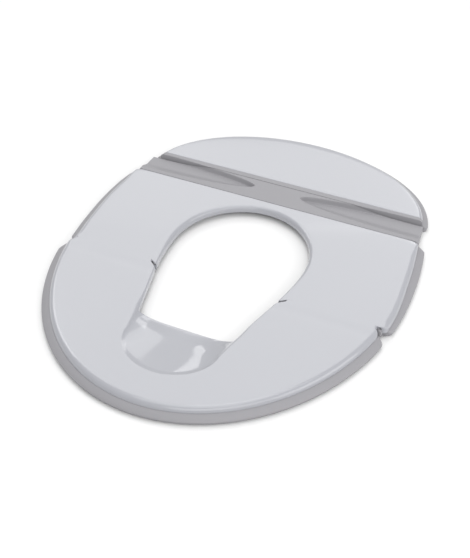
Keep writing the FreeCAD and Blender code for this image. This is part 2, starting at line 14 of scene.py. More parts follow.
import bmesh
import bpy
import numpy as np
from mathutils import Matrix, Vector


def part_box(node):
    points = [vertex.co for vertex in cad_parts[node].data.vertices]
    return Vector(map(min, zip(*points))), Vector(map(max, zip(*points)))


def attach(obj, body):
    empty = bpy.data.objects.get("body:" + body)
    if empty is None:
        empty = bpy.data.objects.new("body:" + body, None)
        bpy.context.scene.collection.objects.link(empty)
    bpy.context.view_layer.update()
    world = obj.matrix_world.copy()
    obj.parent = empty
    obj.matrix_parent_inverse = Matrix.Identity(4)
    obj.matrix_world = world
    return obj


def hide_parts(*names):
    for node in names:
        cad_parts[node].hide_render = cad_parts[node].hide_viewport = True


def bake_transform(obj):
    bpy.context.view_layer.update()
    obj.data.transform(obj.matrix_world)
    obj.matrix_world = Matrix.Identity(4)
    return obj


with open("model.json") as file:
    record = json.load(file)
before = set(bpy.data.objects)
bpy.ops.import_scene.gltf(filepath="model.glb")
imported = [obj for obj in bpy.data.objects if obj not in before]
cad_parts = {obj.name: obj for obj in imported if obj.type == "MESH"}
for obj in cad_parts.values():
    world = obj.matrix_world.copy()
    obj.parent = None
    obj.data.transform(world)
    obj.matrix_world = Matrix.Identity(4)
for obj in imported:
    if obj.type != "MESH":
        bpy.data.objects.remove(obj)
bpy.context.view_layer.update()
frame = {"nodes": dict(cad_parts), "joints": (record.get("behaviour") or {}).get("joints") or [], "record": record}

MM = 0.001
MIRROR = np.array([-1.0, 1.0, 1.0])
LOG = logging.getLogger("seat")
Array = np.ndarray
Points = tuple[Array, Array]
Outline = Callable[[Array], Points]
Triple = tuple[float, float, float]
Piece = bpy.types.Object
Pieces = list[Piece]


class Body(Enum):
    """The moving bodies of the frame."""

    MIDDLE = "middle"
    FRONT = "front"
    FLAP = "flap"


class Slot(Enum):
    """The record's material slots."""

    SEAT = "seat_plastic"
    TRIM = "trim_plastic"
    GRIP = "grip_rubber"
    WEB = "web_elastomer"
    STEEL = "screw_steel"


def smoothstep(value: Array) -> Array:
    """Returns 3t^2 - 2t^3 of the value held between 0 and 1."""
    held = np.clip(value, 0.0, 1.0)
    return held * held * (3.0 - 2.0 * held)


def soft_min(first: Array, second: Array, blend: float) -> Array:
    """Returns the lower height, with a parabola where the two are less than blend apart."""
    near = np.maximum(blend - np.abs(first - second), 0.0) / blend
    return np.minimum(first, second) - near * near * blend / 4.0


def graded(stops: list[float], counts: list[int]) -> Array:
    """Returns all the stops, with a count of even steps from each one to the next."""
    pairs = zip(stops[:-1], stops[1:], counts)
    stretches = [np.linspace(low, high, count, endpoint=False) for low, high, count in pairs]
    return np.concatenate(stretches + [np.array([stops[-1]])])


def quarter_turn(count: int) -> Array:
    """Returns even angles from 0 to 90 degrees, in radians."""
    return np.radians(np.linspace(0.0, 90.0, count))


def full_turn(count: int) -> Array:
    """Returns even angles once round, in radians."""
    return np.linspace(0.0, 2.0 * math.pi, count, endpoint=False)


def quarter_round(radius: Array, turn: Array) -> Points:
    """Returns how far in and how far down a quarter round lies, at angles that rise from its foot."""
    return radius * (1.0 - np.cos(turn)), radius * (1.0 - np.sin(turn))


def arc_drop(radius: Array, way: Array) -> Array:
    """Returns how far an arc falls on the way from where it is level: r less the root of r^2 - way^2."""
    return radius - np.sqrt(radius ** 2 - way ** 2)


def ray_to_ellipse(angle: Array, start: float, wide: Array, long: Array) -> Array:
    """Length of a ray from a point on an ellipse's long axis to the ellipse.

    Args:
        angle: The ray's angle from +X in radians, positive on the side that start points to.
        start: How far the point lies from the ellipse's centre.
        wide: The half axis across the seat.
        long: The half axis along it.

    Returns:
        The positive root of the ray's meeting with the ellipse.
    """
    square = (np.cos(angle) / wide) ** 2 + (np.sin(angle) / long) ** 2
    linear = start * np.sin(angle) / long ** 2
    rest = (start / long) ** 2 - 1.0
    return (np.sqrt(linear ** 2 - square * rest) - linear) / square


# -------------------- Meshes --------------------


def grid(x: Array, y: Array, z: Array) -> Array:
    """Returns one array of points from three that may be of lower dimension."""
    return np.stack(np.broadcast_arrays(x, y, z), axis=-1)


def both_sides(right: Array) -> Array:
    """Returns a half grid, whose last column is on the middle plane, joined to its mirror image."""
    left = right[:, -2::-1] * MIRROR
    return np.concatenate([right, left], axis=1)


def rows_between(first: Array, last: Array, count: int) -> Array:
    """Returns even rows of points between two rows, without those two."""
    share = np.linspace(0.0, 1.0, count + 2)[1:-1, None, None]
    return first + (last - first) * share


def side_outline(y: Array, half_width: Callable[[Array], Array]) -> Outline:
    """Returns an outline at places along the seat, from its half width there at a distance."""
    return lambda distance: np.broadcast_arrays(half_width(distance), y)


def joined(side: Outline, rays: Outline) -> Outline:
    """Puts two outlines end to end.

    Args:
        side: Gives rows by columns of points along a side.
        rays: Gives the points along rays, in as many rows or in one that is repeated.

    Returns:
        The outline that has the side's points and then those along the rays.
    """

    def both(distance: Array) -> Points:
        """Returns both outlines' points at a distance."""
        x, y = (
            np.concatenate([first, np.broadcast_to(second, (len(first), second.shape[-1]))], axis=1)
            for first, second in zip(side(distance), rays(distance))
        )
        return x, y

    return both


def linked(name: str, data: bpy.types.ID) -> Piece:
    """Returns a new object in the scene, at the origin."""
    made = bpy.data.objects.new(name, data)
    bpy.context.scene.collection.objects.link(made)
    return made


@dataclass
class Patch:
    """A grid of points, rows by columns by three, in millimetres."""

    points: Array
    wrap_rows: bool = False
    wrap_columns: bool = False
    cap_ends: bool = False

    @classmethod
    def tube(cls, points: Array) -> "Patch":
        """Returns a closed section, one in each column, with a face over each end."""
        return cls(points, wrap_rows=True, cap_ends=True)

    def quads(self) -> Array:
        """Returns each cell's four corners as indices into the flattened grid."""
        rows, columns = self.points.shape[:2]
        row = np.arange(rows if self.wrap_rows else rows - 1)
        column = np.arange(columns if self.wrap_columns else columns - 1)
        low, left = np.meshgrid(row, column, indexing="ij")
        high = (low + 1) % rows
        right = (left + 1) % columns
        corners = [low * columns + left, low * columns + right, high * columns + right, high * columns + left]
        return np.stack(corners, axis=-1).reshape(-1, 4)

    def caps(self) -> list[list[int]]:
        """Returns the faces over the first and the last column, if the patch has them."""
        if not self.cap_ends:
            return []
        rows, columns = self.points.shape[:2]
        first = np.arange(rows) * columns
        return [first[::-1].tolist(), (first + columns - 1).tolist()]

    def mirrored(self) -> "Patch":
        """Returns the patch on the other side of the seat's middle plane."""
        return Patch((self.points * MIRROR)[:, ::-1], self.wrap_rows, self.wrap_columns, self.cap_ends)


class MeshShop:
    """Turns patches into finished mesh objects."""

    weld_mm = 0.004

    @classmethod
    def write(cls, name: str, patches: list[Patch], wall: float = 0.0, crease: float = 38.0) -> Piece:
        """Makes one object at the origin.

        Args:
            name: The piece's name.
            patches: The grids that make it up.
            wall: The thickness that an open surface gets on its inner side, or 0 for a closed one.
            crease: The angle in degrees past which an edge stays sharp.

        Returns:
            The new object, with its normals outwards.
        """
        mesh = bpy.data.meshes.new(name)
        points = np.concatenate([patch.points.reshape(-1, 3) for patch in patches]) * MM
        faces: list[list[int]] = []
        offset = 0
        for patch in patches:
            faces += (patch.quads() + offset).tolist()
            faces += [[index + offset for index in cap] for cap in patch.caps()]
            offset += patch.points.shape[0] * patch.points.shape[1]
        mesh.from_pydata(points.tolist(), [], faces)
        cls.clean(mesh, open_top=wall > 0.0)
        piece = linked(name, mesh)
        if wall > 0.0:
            cls.thicken(piece, wall)
        piece.data.polygons.foreach_set("use_smooth", np.ones(len(piece.data.polygons), bool))
        piece.data.set_sharp_from_angle(angle=math.radians(crease))
        return piece

    @classmethod
    def clean(cls, mesh: bpy.types.Mesh, open_top: bool) -> None:
        """Welds seams and poles, and turns the faces outwards.

        Args:
            mesh: The mesh to clean.
            open_top: Whether it is an open skin whose outer side looks up.
        """
        work = bmesh.new()
        work.from_mesh(mesh)
        bmesh.ops.remove_doubles(work, verts=work.verts, dist=cls.weld_mm * MM)
        bmesh.ops.dissolve_degenerate(work, edges=work.edges, dist=cls.weld_mm * MM)
        bmesh.ops.recalc_face_normals(work, faces=work.faces)
        if open_top and sum(face.normal.z * face.calc_area() for face in work.faces) < 0.0:
            bmesh.ops.reverse_faces(work, faces=work.faces)
        work.to_mesh(mesh)
        work.free()

    @staticmethod
    def thicken(piece: Piece, wall: float) -> None:
        """Gives an open skin its wall on the inner side, and keeps the result as its mesh.

        Args:
            piece: The object to thicken.
            wall: The wall in millimetres.
        """
        solid = piece.modifiers.new("wall", "SOLIDIFY")
        solid.thickness = wall * MM
        solid.offset = -1.0
        solid.use_quality_normals = True
        bpy.context.view_layer.update()
        shown = piece.evaluated_get(bpy.context.evaluated_depsgraph_get())
        thick = bpy.data.meshes.new_from_object(shown)
        thin = piece.data
        piece.modifiers.clear()
        piece.data = thick
        thick.name = piece.name
        bpy.data.meshes.remove(thin)


# -------------------- Materials --------------------


class Graph:
    """A material's node tree, whose nodes all come from one method."""

    def __init__(self, name: str) -> None:
        """Starts an empty material of that name."""
        self.material = bpy.data.materials.new(name)
        self.material.use_nodes = True
        self.tree = self.material.node_tree
        self.tree.nodes.clear()

    def node(self, kind: str, settings: dict, inputs: dict) -> bpy.types.Node:
        """Adds a node.

        Args:
            kind: The node's type name, without its ShaderNode prefix.
            settings: Attributes that are set first.
            inputs: Values or sockets, by the input's name or number.

        Returns:
            The new node.
        """
        made = self.tree.nodes.new("ShaderNode" + kind)
        for key, value in settings.items():
            setattr(made, key, value)
        for key, value in inputs.items():
            source = value.socket if isinstance(value, Value) else value
            if isinstance(source, bpy.types.NodeSocket):
                self.tree.links.new(source, made.inputs[key])
            else:
                made.inputs[key].default_value = source
        return made

    def noise(self, scale: float, detail: float = 2.0, stretch: Triple = (1, 1, 1)) -> "Value":
        """Soft noise on the piece's own coordinates.

        Args:
            scale: Waves per metre.
            detail: How many finer layers it has.
            stretch: The pattern's scale along each axis.

        Returns:
            The noise, from 0 to 1.
        """
        place = self.node("TexCoord", {}, {}).outputs["Object"]
        turned = self.node("Mapping", {}, {"Vector": place, "Scale": stretch}).outputs[0]
        made = self.node("TexNoise", {}, {"Vector": turned, "Scale": scale, "Detail": detail})
        return Value(self, made.outputs[0])

    def between(self, factor: "Value", low: tuple, high: tuple) -> bpy.types.NodeSocket:
        """Returns the colour that lies between two others by a factor from 0 to 1."""
        mixed = self.node("Mix", {"data_type": "RGBA"}, {0: factor, 6: (*low, 1.0), 7: (*high, 1.0)})
        return mixed.outputs[2]

    def finished(self, shader: str, inputs: dict) -> bpy.types.Material:
        """Returns the material, with a shader of that type and inputs on its surface."""
        made = self.node(shader, {}, inputs)
        self.node("OutputMaterial", {}, {"Surface": made.outputs[0]})
        return self.material


@dataclass(frozen=True)
class Value:
    """A number that changes over the surface; expressions on it add Math nodes."""

    graph: Graph
    socket: bpy.types.NodeSocket

    def maths(self, operation: str, other: object) -> "Value":
        """Returns the result of one Math node on this value and another."""
        made = self.graph.node("Math", {"operation": operation}, {0: self, 1: other})
        return Value(self.graph, made.outputs[0])

    def __add__(self, other: object) -> "Value":
        """Returns self + other."""
        return self.maths("ADD", other)

    def __mul__(self, other: object) -> "Value":
        """Returns self * other."""
        return self.maths("MULTIPLY", other)


@dataclass(frozen=True)
class MouldedFinish:
    """A moulded plastic or rubber: two close tones in soft clouds, and a fine skin grain.

    A scale counts waves per metre.
    """

    name: str
    pale: Triple
    deep: Triple
    roughness: float
    roughness_spread: float
    grain_scale: float
    grain_mm: float
    specular: float = 0.5
    coat: float = 0.0
    coat_roughness: float = 0.1
    cloud_scale: float = 14.0
    speck_scale: float = 2600.0
    speck_share: float = 0.25
    smudge_scale: float = 55.0

    def material(self) -> bpy.types.Material:
        """Returns the finish as a material."""
        graph = Graph(self.name)
        clouds = graph.noise(self.cloud_scale, 3.0)
        specks = graph.noise(self.speck_scale, 1.0)
        tone = clouds * (1.0 - self.speck_share) + specks * self.speck_share
        grain = graph.noise(self.grain_scale, 3.0)
        smudges = graph.noise(self.smudge_scale, 4.0)
        bump = graph.node("Bump", {}, {"Strength": 1.0, "Distance": self.grain_mm * MM, "Height": grain})
        return graph.finished("BsdfPrincipled", {
            "Base Color": graph.between(tone, self.deep, self.pale),
            "Roughness": smudges * self.roughness_spread + (self.roughness - self.roughness_spread / 2),
            "Normal": bump.outputs[0],
            "Specular IOR Level": self.specular,
            "Coat Weight": self.coat,
            "Coat Roughness": self.coat_roughness,
        })


@dataclass(frozen=True)
class SteelFinish:
    """Plated steel: a clear metal with fine turning marks and dull spots."""

    name: str
    bright: Triple
    dull: Triple
    roughness: float
    roughness_spread: float = 0.16
    spot_scale: float = 420.0
    mark_scale: float = 3000.0
    mark_stretch: Triple = (1.0, 0.12, 1.0)
    mark_strength: float = 0.4
    mark_mm: float = 0.01

    def material(self) -> bpy.types.Material:
        """Returns the finish as a material."""
        graph = Graph(self.name)
        spots = graph.noise(self.spot_scale, 4.0)
        marks = graph.noise(self.mark_scale, 2.0, self.mark_stretch)
        relief = {"Strength": self.mark_strength, "Distance": self.mark_mm * MM, "Height": marks}
        return graph.finished("BsdfPrincipled", {
            "Base Color": graph.between(spots, self.dull, self.bright),
            "Metallic": 1.0,
            "Roughness": spots * self.roughness_spread + self.roughness,
            "Normal": graph.node("Bump", {}, relief).outputs[0],
        })


class Finishes:
    """Every finish of the seat, made once and shared by its pieces."""

    recipes = {
        Slot.SEAT: MouldedFinish(
            "seat_plastic", (0.352, 0.358, 0.388), (0.344, 0.350, 0.380), 0.30, 0.02, 900.0, 0.0006,
            coat=0.9, coat_roughness=0.055),
        Slot.TRIM: MouldedFinish(
            "trim_plastic", (0.285, 0.281, 0.297), (0.270, 0.266, 0.282), 0.50, 0.06, 1900.0, 0.012),
        Slot.GRIP: MouldedFinish(
            "grip_rubber", (0.115, 0.115, 0.120), (0.092, 0.092, 0.096), 0.78, 0.08, 1300.0, 0.03,
            specular=0.35),
        Slot.WEB: MouldedFinish(
            "web_elastomer", (0.300, 0.301, 0.308), (0.272, 0.273, 0.280), 0.62, 0.06, 1500.0, 0.02),
        Slot.STEEL: SteelFinish("screw_steel", (0.66, 0.66, 0.67), (0.50, 0.50, 0.52), 0.28),
    }

    def __init__(self) -> None:
        """Builds the materials."""
        self.made = {slot: recipe.material() for slot, recipe in self.recipes.items()}

    def dress(self, piece: Piece, slot: Slot) -> None:
        """Gives a new piece, or a node of the frame, the finish of one of the record's slots."""
        piece.data.materials.clear()
        piece.data.materials.append(self.made[slot])

    def mount(self, pieces: Pieces, slot: Slot, body: Body, node: str) -> Pieces:
        """Dresses the pieces of one body, the first of which stands for a node of the frame.

        Args:
            pieces: New pieces.
            slot: The slot whose finish they take.
            body: The body that they ride with.
            node: The node that the first one replaces.

        Returns:
            The same pieces.
        """
        for piece in pieces:
            self.dress(piece, slot)
            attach(piece, body.value)
        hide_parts(node)
        return pieces


# -------------------- The seat's plan --------------------


@dataclass(frozen=True)
class SeatPlan:
    """The outlines and heights that the sub-assemblies share. Angles are in degrees."""

    half_width: float
    front_reach: float
    rear_y: float
    fold_y: float
    hinge_y: float
    flap_reach: float
    top: float
    centre_y: float = -4.6
    rear_reach: float = 249.7
    opening_y: float = 1.5
    opening_half_width: float = 63.1
    opening_reach: float = 67.9
    side_radius: float = 217.5
    side_turn: float = 13.5
    opening_front_y: float = -102.5
    rim_round: float = 3.7
    edge_round: float = 5.0
    edge_drop: float = 5.0
    rim_depth: float = 6.2
    wall: float = 2.2
    flap_step: float = 3.95
    flap_setback: float = 11.7
    flap_ledge: float = 6.1
    plate_low: float = 1.5
    plate_high: float = 3.0
    rear_corner_blend: float = 7.5
    left_in: float = 4.6
    left_out: float = 3.6
    right_out: float = 3.0
    right_length: float = 75.0
    side_start: float = 95.0
    side_length: float = 45.0

    @classmethod
    def from_frame(cls) -> "SeatPlan":
        """Returns the plan with its overall sizes and hinge places read from the frame."""
        joint_y = {joint["name"]: joint["pos_m"][1] / MM for joint in frame["joints"]}
        _, middle_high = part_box("middle_seat_shell")
        front_low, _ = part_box("front_seat_shell")
        bridge_low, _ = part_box("rear_bridge")
        _, flap_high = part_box("flap_seat_shell")
        hinge_y = joint_y["flap_hinge"]
        return cls(
            half_width=middle_high.x / MM,
            front_reach=cls.centre_y - front_low.y / MM,
            rear_y=bridge_low.y / MM,
            fold_y=joint_y["fold_hinge"],
            hinge_y=hinge_y,
            flap_reach=flap_high.y / MM - (hinge_y - cls.flap_setback),
            top=middle_high.z / MM,
        )

    @property
    def crevice(self) -> float:
        """The height where the light panels' rounded edge meets the skirt."""
        return self.top - self.edge_drop

    @property
    def flap_y(self) -> float:
        """The centre of the flap's elliptic edge."""
        return self.hinge_y - self.flap_setback

    @property
    def flap_panel_y(self) -> float:
        """Where the flap's light panel starts."""
        return self.hinge_y + self.flap_ledge

    @property
    def flap_half_width(self) -> float:
        """The flap's half width at its ellipse's centre."""
        return float(self.edge_x(np.array(self.rear_y), 0.0)) - self.flap_step

    def settled(self, points: Array, right: bool) -> Array:
        """Moves the middle section's outer sides a little across the seat, as it sits on its hinge.

        Args:
            points: Points of the middle section, in any arrangement.
            right: Whether the right side's edge moves outwards at the fold too.

        Returns:
            The points, whose left side has moved inwards at the fold and outwards at the rear.
        """
        x, y, z = np.moveaxis(points, -1, 0)
        past = y - self.fold_y
        way = smoothstep(past / (self.rear_y - self.fold_y))
        shift = self.left_in - (self.left_in + self.left_out) * way
        left = shift * smoothstep((-x - self.side_start) / self.side_length)
        near = 1.0 - smoothstep(past / self.right_length)
        outer = self.right_out * near * smoothstep((x - self.side_start) / self.side_length) if right else 0.0
        return grid(x + left + outer, y, z)

    def edge_x(self, y: Array, inset: Array) -> Array:
        """Returns half the ring's width at an inset: an ellipse in front, and a longer one behind it."""
        reach = np.where(y > self.centre_y, self.rear_reach, self.front_reach) - inset
        share = np.clip((y - self.centre_y) / reach, -1.0, 1.0)
        return (self.half_width - inset) * np.sqrt(1.0 - share * share)

    def rim_x(self, y: Array, outset: Array) -> Array:
        """Half the opening's width: an arc, then a straight line tangent to it.

        Args:
            y: Places along the seat, in front of the opening's centre.
            outset: How far outside the opening's edge.

        Returns:
            The half width there.
        """
        turn = math.radians(self.side_turn)
        radius = self.side_radius + outset
        centre_x = self.opening_half_width - self.side_radius
        bend_y = self.opening_y - radius * math.sin(turn)
        rise = np.minimum(np.abs(y - self.opening_y), radius * math.sin(turn))
        arc = centre_x + np.sqrt(radius * radius - rise * rise)
        line = centre_x + radius * math.cos(turn) - (bend_y - y) * math.tan(turn)
        return np.where(y > bend_y, arc, line)

    def rear_ray_rim(self, angle: Array, outset: Array) -> Array:
        """Returns the length of a ray from the opening's centre to its rear arch grown by outset."""
        across = np.cos(angle) / (self.opening_half_width + outset)
        along = np.sin(angle) / (self.opening_reach + outset)
        return 1.0 / np.sqrt(across * across + along * along)

    def rear_ray_edge(self, angle: Array, inset: Array) -> Array:
        """Length of a ray from the opening's centre to the ring's outer edge behind it.

        Args:
            angle: The ray's angle from +X in radians.
            inset: How far inside the edge.

        Returns:
            The shorter of the lengths to the side's ellipse and to the straight rear edge, with
            the corner between them rounded.
        """
        start = self.opening_y - self.centre_y
        side = ray_to_ellipse(angle, start, self.half_width - inset, self.rear_reach - inset)
        rear = (self.rear_y - inset - self.opening_y) / np.maximum(np.sin(angle), 1e-6)
        return soft_min(side, rear, self.rear_corner_blend)

    def front_ray_edge(self, angle: Array, inset: Array) -> Array:
        """Returns the length of a ray from the opening's front edge to the ring's edge, less inset."""
        start = self.centre_y - self.opening_front_y
        return ray_to_ellipse(angle, start, self.half_width - inset, self.front_reach - inset)

    def rear_ray(self, angle: Array, length: Array) -> Points:
        """Returns the points at a length along rays from the opening's centre to the rear."""
        return length * np.cos(angle), self.opening_y + length * np.sin(angle)

    def front_ray(self, angle: Array, length: Array) -> Points:
        """Returns the points at a length along rays from the opening's front edge to the front."""
        return length * np.cos(angle), self.opening_front_y - length * np.sin(angle)

    def front_arc(self, turn: Array, grown: Array) -> Points:
        """Returns points on the ring's front ellipse, grown."""
        x = (self.half_width + grown) * np.cos(turn)
        return x, self.centre_y + (self.front_reach + grown) * np.sin(turn)

    def flap_arc(self, turn: Array, grown: Array) -> Points:
        """Returns points on the flap's ellipse, grown."""
        x = (self.flap_half_width + grown) * np.cos(turn)
        return x, self.flap_y + (self.flap_reach + grown) * np.sin(turn)


@dataclass
class Assembly:
    """A sub-assembly of the seat, with what all of them share."""

    plan: SeatPlan
    finishes: Finishes

    def build(self) -> Pieces:
        """Returns the sub-assembly's pieces, dressed and riding with their bodies."""
        raise NotImplementedError


# -------------------- Light panels --------------------


@dataclass
class Band:
    """A skin from a rim, up over its roll, across a flat top and down over the outer edge's roll.

    rim and edge give the points at an inset from the rim or the edge. Both take rows by columns.
    """

    plan: SeatPlan
    rim: Outline
    edge: Outline
    rim_round: Array
    edge_round: Array
    roll_rows: int = 13
    flat_rows: int = 15
    wall_rows: int = 4
    hidden_wall: float = 1.0

    def rim_rows(self) -> Array:
        """Returns the rim's wall and quarter round, from its bottom up to the flat top."""
        low = self.plan.top - self.plan.rim_depth
        share = np.linspace(0.0, 1.0, self.wall_rows, endpoint=False)[:, None]
        wall_z = low + (self.plan.top - self.rim_round - low) * share
        inset, fall = quarter_round(self.rim_round, quarter_turn(self.roll_rows)[:, None])
        x, y = self.rim(np.concatenate([np.zeros_like(wall_z), inset]))
        return grid(x, y, np.concatenate([wall_z, self.plan.top - fall]))

    def edge_rows(self) -> Array:
        """Returns the outer edge's quarter round and hidden wall, from the flat top down."""
        inset, fall = quarter_round(self.edge_round, quarter_turn(self.roll_rows)[::-1, None])
        z = self.plan.top - fall
        low = self.plan.crevice - self.hidden_wall
        wall_z = z[-1] + (low - z[-1]) * np.linspace(0.0, 1.0, self.wall_rows)[1:, None]
        x, y = self.edge(np.concatenate([inset, np.zeros_like(wall_z)]))
        return grid(x, y, np.concatenate([z, wall_z]))

    def rows(self) -> Array:
        """Returns the whole skin's grid."""
        rim = self.rim_rows()
        edge = self.edge_rows()
        return np.concatenate([rim, rows_between(rim[-1], edge[0], self.flat_rows), edge])


@dataclass
class FoldShape:
    """How the panels end at the fold: notches at the opening and at the outer edge."""

    plan: SeatPlan
    front_end: float = 1.5
    rear_end: float = 0.8
    rim_notch: float = 5.6
    rim_notch_length: float = 6.6
    rim_notch_power: float = 1.35
    tooth: float = 3.6
    tooth_gap: float = 0.8
    tooth_length: float = 12.0
    tooth_flank: float = 0.2
    tooth_round: float = 1.0
    edge_notch: float = 4.5
    edge_notch_length: float = 9.0
    corner: float = 4.0
    ease: float = 11.0
    rear_rim_ease: float = 42.0
    front_rim_hold: float = 36.0
    front_rim_ease: float = 24.0
    rim_round: float = 1.5
    edge_round: float = 2.0

    @property
    def front_y(self) -> float:
        """Where the front panel's rigid skin ends."""
        return self.plan.fold_y - self.front_end

    @property
    def middle_y(self) -> float:
        """Where the middle panel's rigid skin ends."""
        return self.plan.fold_y + self.rear_end

    def rim_shift(self, y: Array) -> Array:
        """Returns how far a notch pushes the front panel's rim out: a power of the way to the fold."""
        share = np.clip((y - self.front_y) / self.rim_notch_length + 1.0, 0.0, 1.0)
        return self.rim_notch * share ** self.rim_notch_power

    def with_tooth(self, points: Array) -> Array:
        """Draws the middle panel's inner corner out into the front panel's notch.

        The points within the notch's width move towards the front, those at the panel's end by the
        most, as far as the notch's own curve less a gap. Their end is rounded down.

        Args:
            points: The right side's grid, from the opening's rim outwards.

        Returns:
            The moved grid.
        """
        x, y, z = np.moveaxis(points, -1, 0)
        rim = self.plan.rim_x(y, 0.0)
        away = np.clip((x - rim) / self.rim_notch, 0.0, 1.0)
        room = self.middle_y - self.front_y - self.tooth_gap
        room = room + self.rim_notch_length * (1.0 - away ** (1.0 / self.rim_notch_power))
        inner = 1.0 - smoothstep((away - (1.0 - self.tooth_flank)) / self.tooth_flank)
        past = y - self.middle_y
        moved = y - np.minimum(room, self.tooth) * inner * (1.0 - smoothstep(past / self.tooth_length))
        fall = arc_drop(self.tooth_round, np.clip(self.tooth_round - past, 0.0, self.tooth_round))
        along = x + (self.plan.rim_x(moved, 0.0) - rim) * (1.0 - away)
        return grid(along, moved, z - inner * fall)

    def edge_shift(self, y: Array) -> Array:
        """Returns how far the front panel's outer corner is drawn in: an arc up to the fold."""
        length = self.edge_notch_length
        radius = (length ** 2 + self.edge_notch ** 2) / (2.0 * self.edge_notch)
        return arc_drop(radius, np.clip(y - self.front_y + length, 0.0, length))

    def corner_shift(self, y: Array) -> Array:
        """Returns how far the middle panel's corner is drawn in by its quarter round."""
        return arc_drop(self.corner, np.clip(self.middle_y + self.corner - y, 0.0, self.corner))

    def eased_edge(self, y: Array) -> Array:
        """Returns the outer edge's radius, which shrinks smoothly towards the fold."""
        away = np.abs(y - self.plan.fold_y) / self.ease
        return self.edge_round + (self.plan.edge_round - self.edge_round) * smoothstep(away)

    def eased_rim(self, y: Array) -> Array:
        """Returns the rim's radius: full at the rear and at the scoop, and small in front of the fold."""
        behind = (y - self.plan.fold_y) / self.rear_rim_ease
        ahead = (self.plan.fold_y - self.front_rim_hold - y) / self.front_rim_ease
        return self.rim_round + (self.plan.rim_round - self.rim_round) * smoothstep(np.maximum(behind, ahead))


@dataclass
class MiddlePanel(Assembly):
    """The light middle panel: the ring's two sides and its rear, in one skin."""

    fold: FoldShape
    rear_round: float = 0.6
    rear_ease_start: float = 21.0
    rear_ease: float = 11.0
    tooth_detail: tuple[float, float] = (3.0, 14.0)

    def half(self) -> Array:
        """Returns the right half's grid, from the fold round to the middle plane."""
        plan, fold = self.plan, self.fold
        start = fold.middle_y
        stops = [start, *(start + past for past in self.tooth_detail), plan.opening_y]
        y = graded(stops, [12, 14, 12])
        sides = Band(
            plan,
            side_outline(y, lambda inset: plan.rim_x(y, inset)),
            side_outline(y, lambda inset: plan.edge_x(y, inset) - fold.corner_shift(y)),
            fold.eased_rim(y),
            fold.eased_edge(y),
        )
        angle = np.radians(graded([0.0, 20.0, 38.0, 90.0], [9, 30, 26]))[1:]
        ease = smoothstep((np.degrees(angle) - self.rear_ease_start) / self.rear_ease)
        rear = Band(
            plan,
            lambda inset: plan.rear_ray(angle, plan.rear_ray_rim(angle, inset)),
            lambda inset: plan.rear_ray(angle, plan.rear_ray_edge(angle, inset)),
            np.full_like(angle, plan.rim_round),
            plan.edge_round + (self.rear_round - plan.edge_round) * ease,
        )
        return np.concatenate([fold.with_tooth(sides.rows()), rear.rows()], axis=1)

    def build(self) -> Pieces:
        """Returns the panel."""
        points = self.plan.settled(both_sides(self.half()), right=True)
        panel = MeshShop.write("middle_panel", [Patch(points)], wall=self.plan.wall)
        return self.finishes.mount([panel], Slot.SEAT, Body.MIDDLE, "middle_seat_shell")


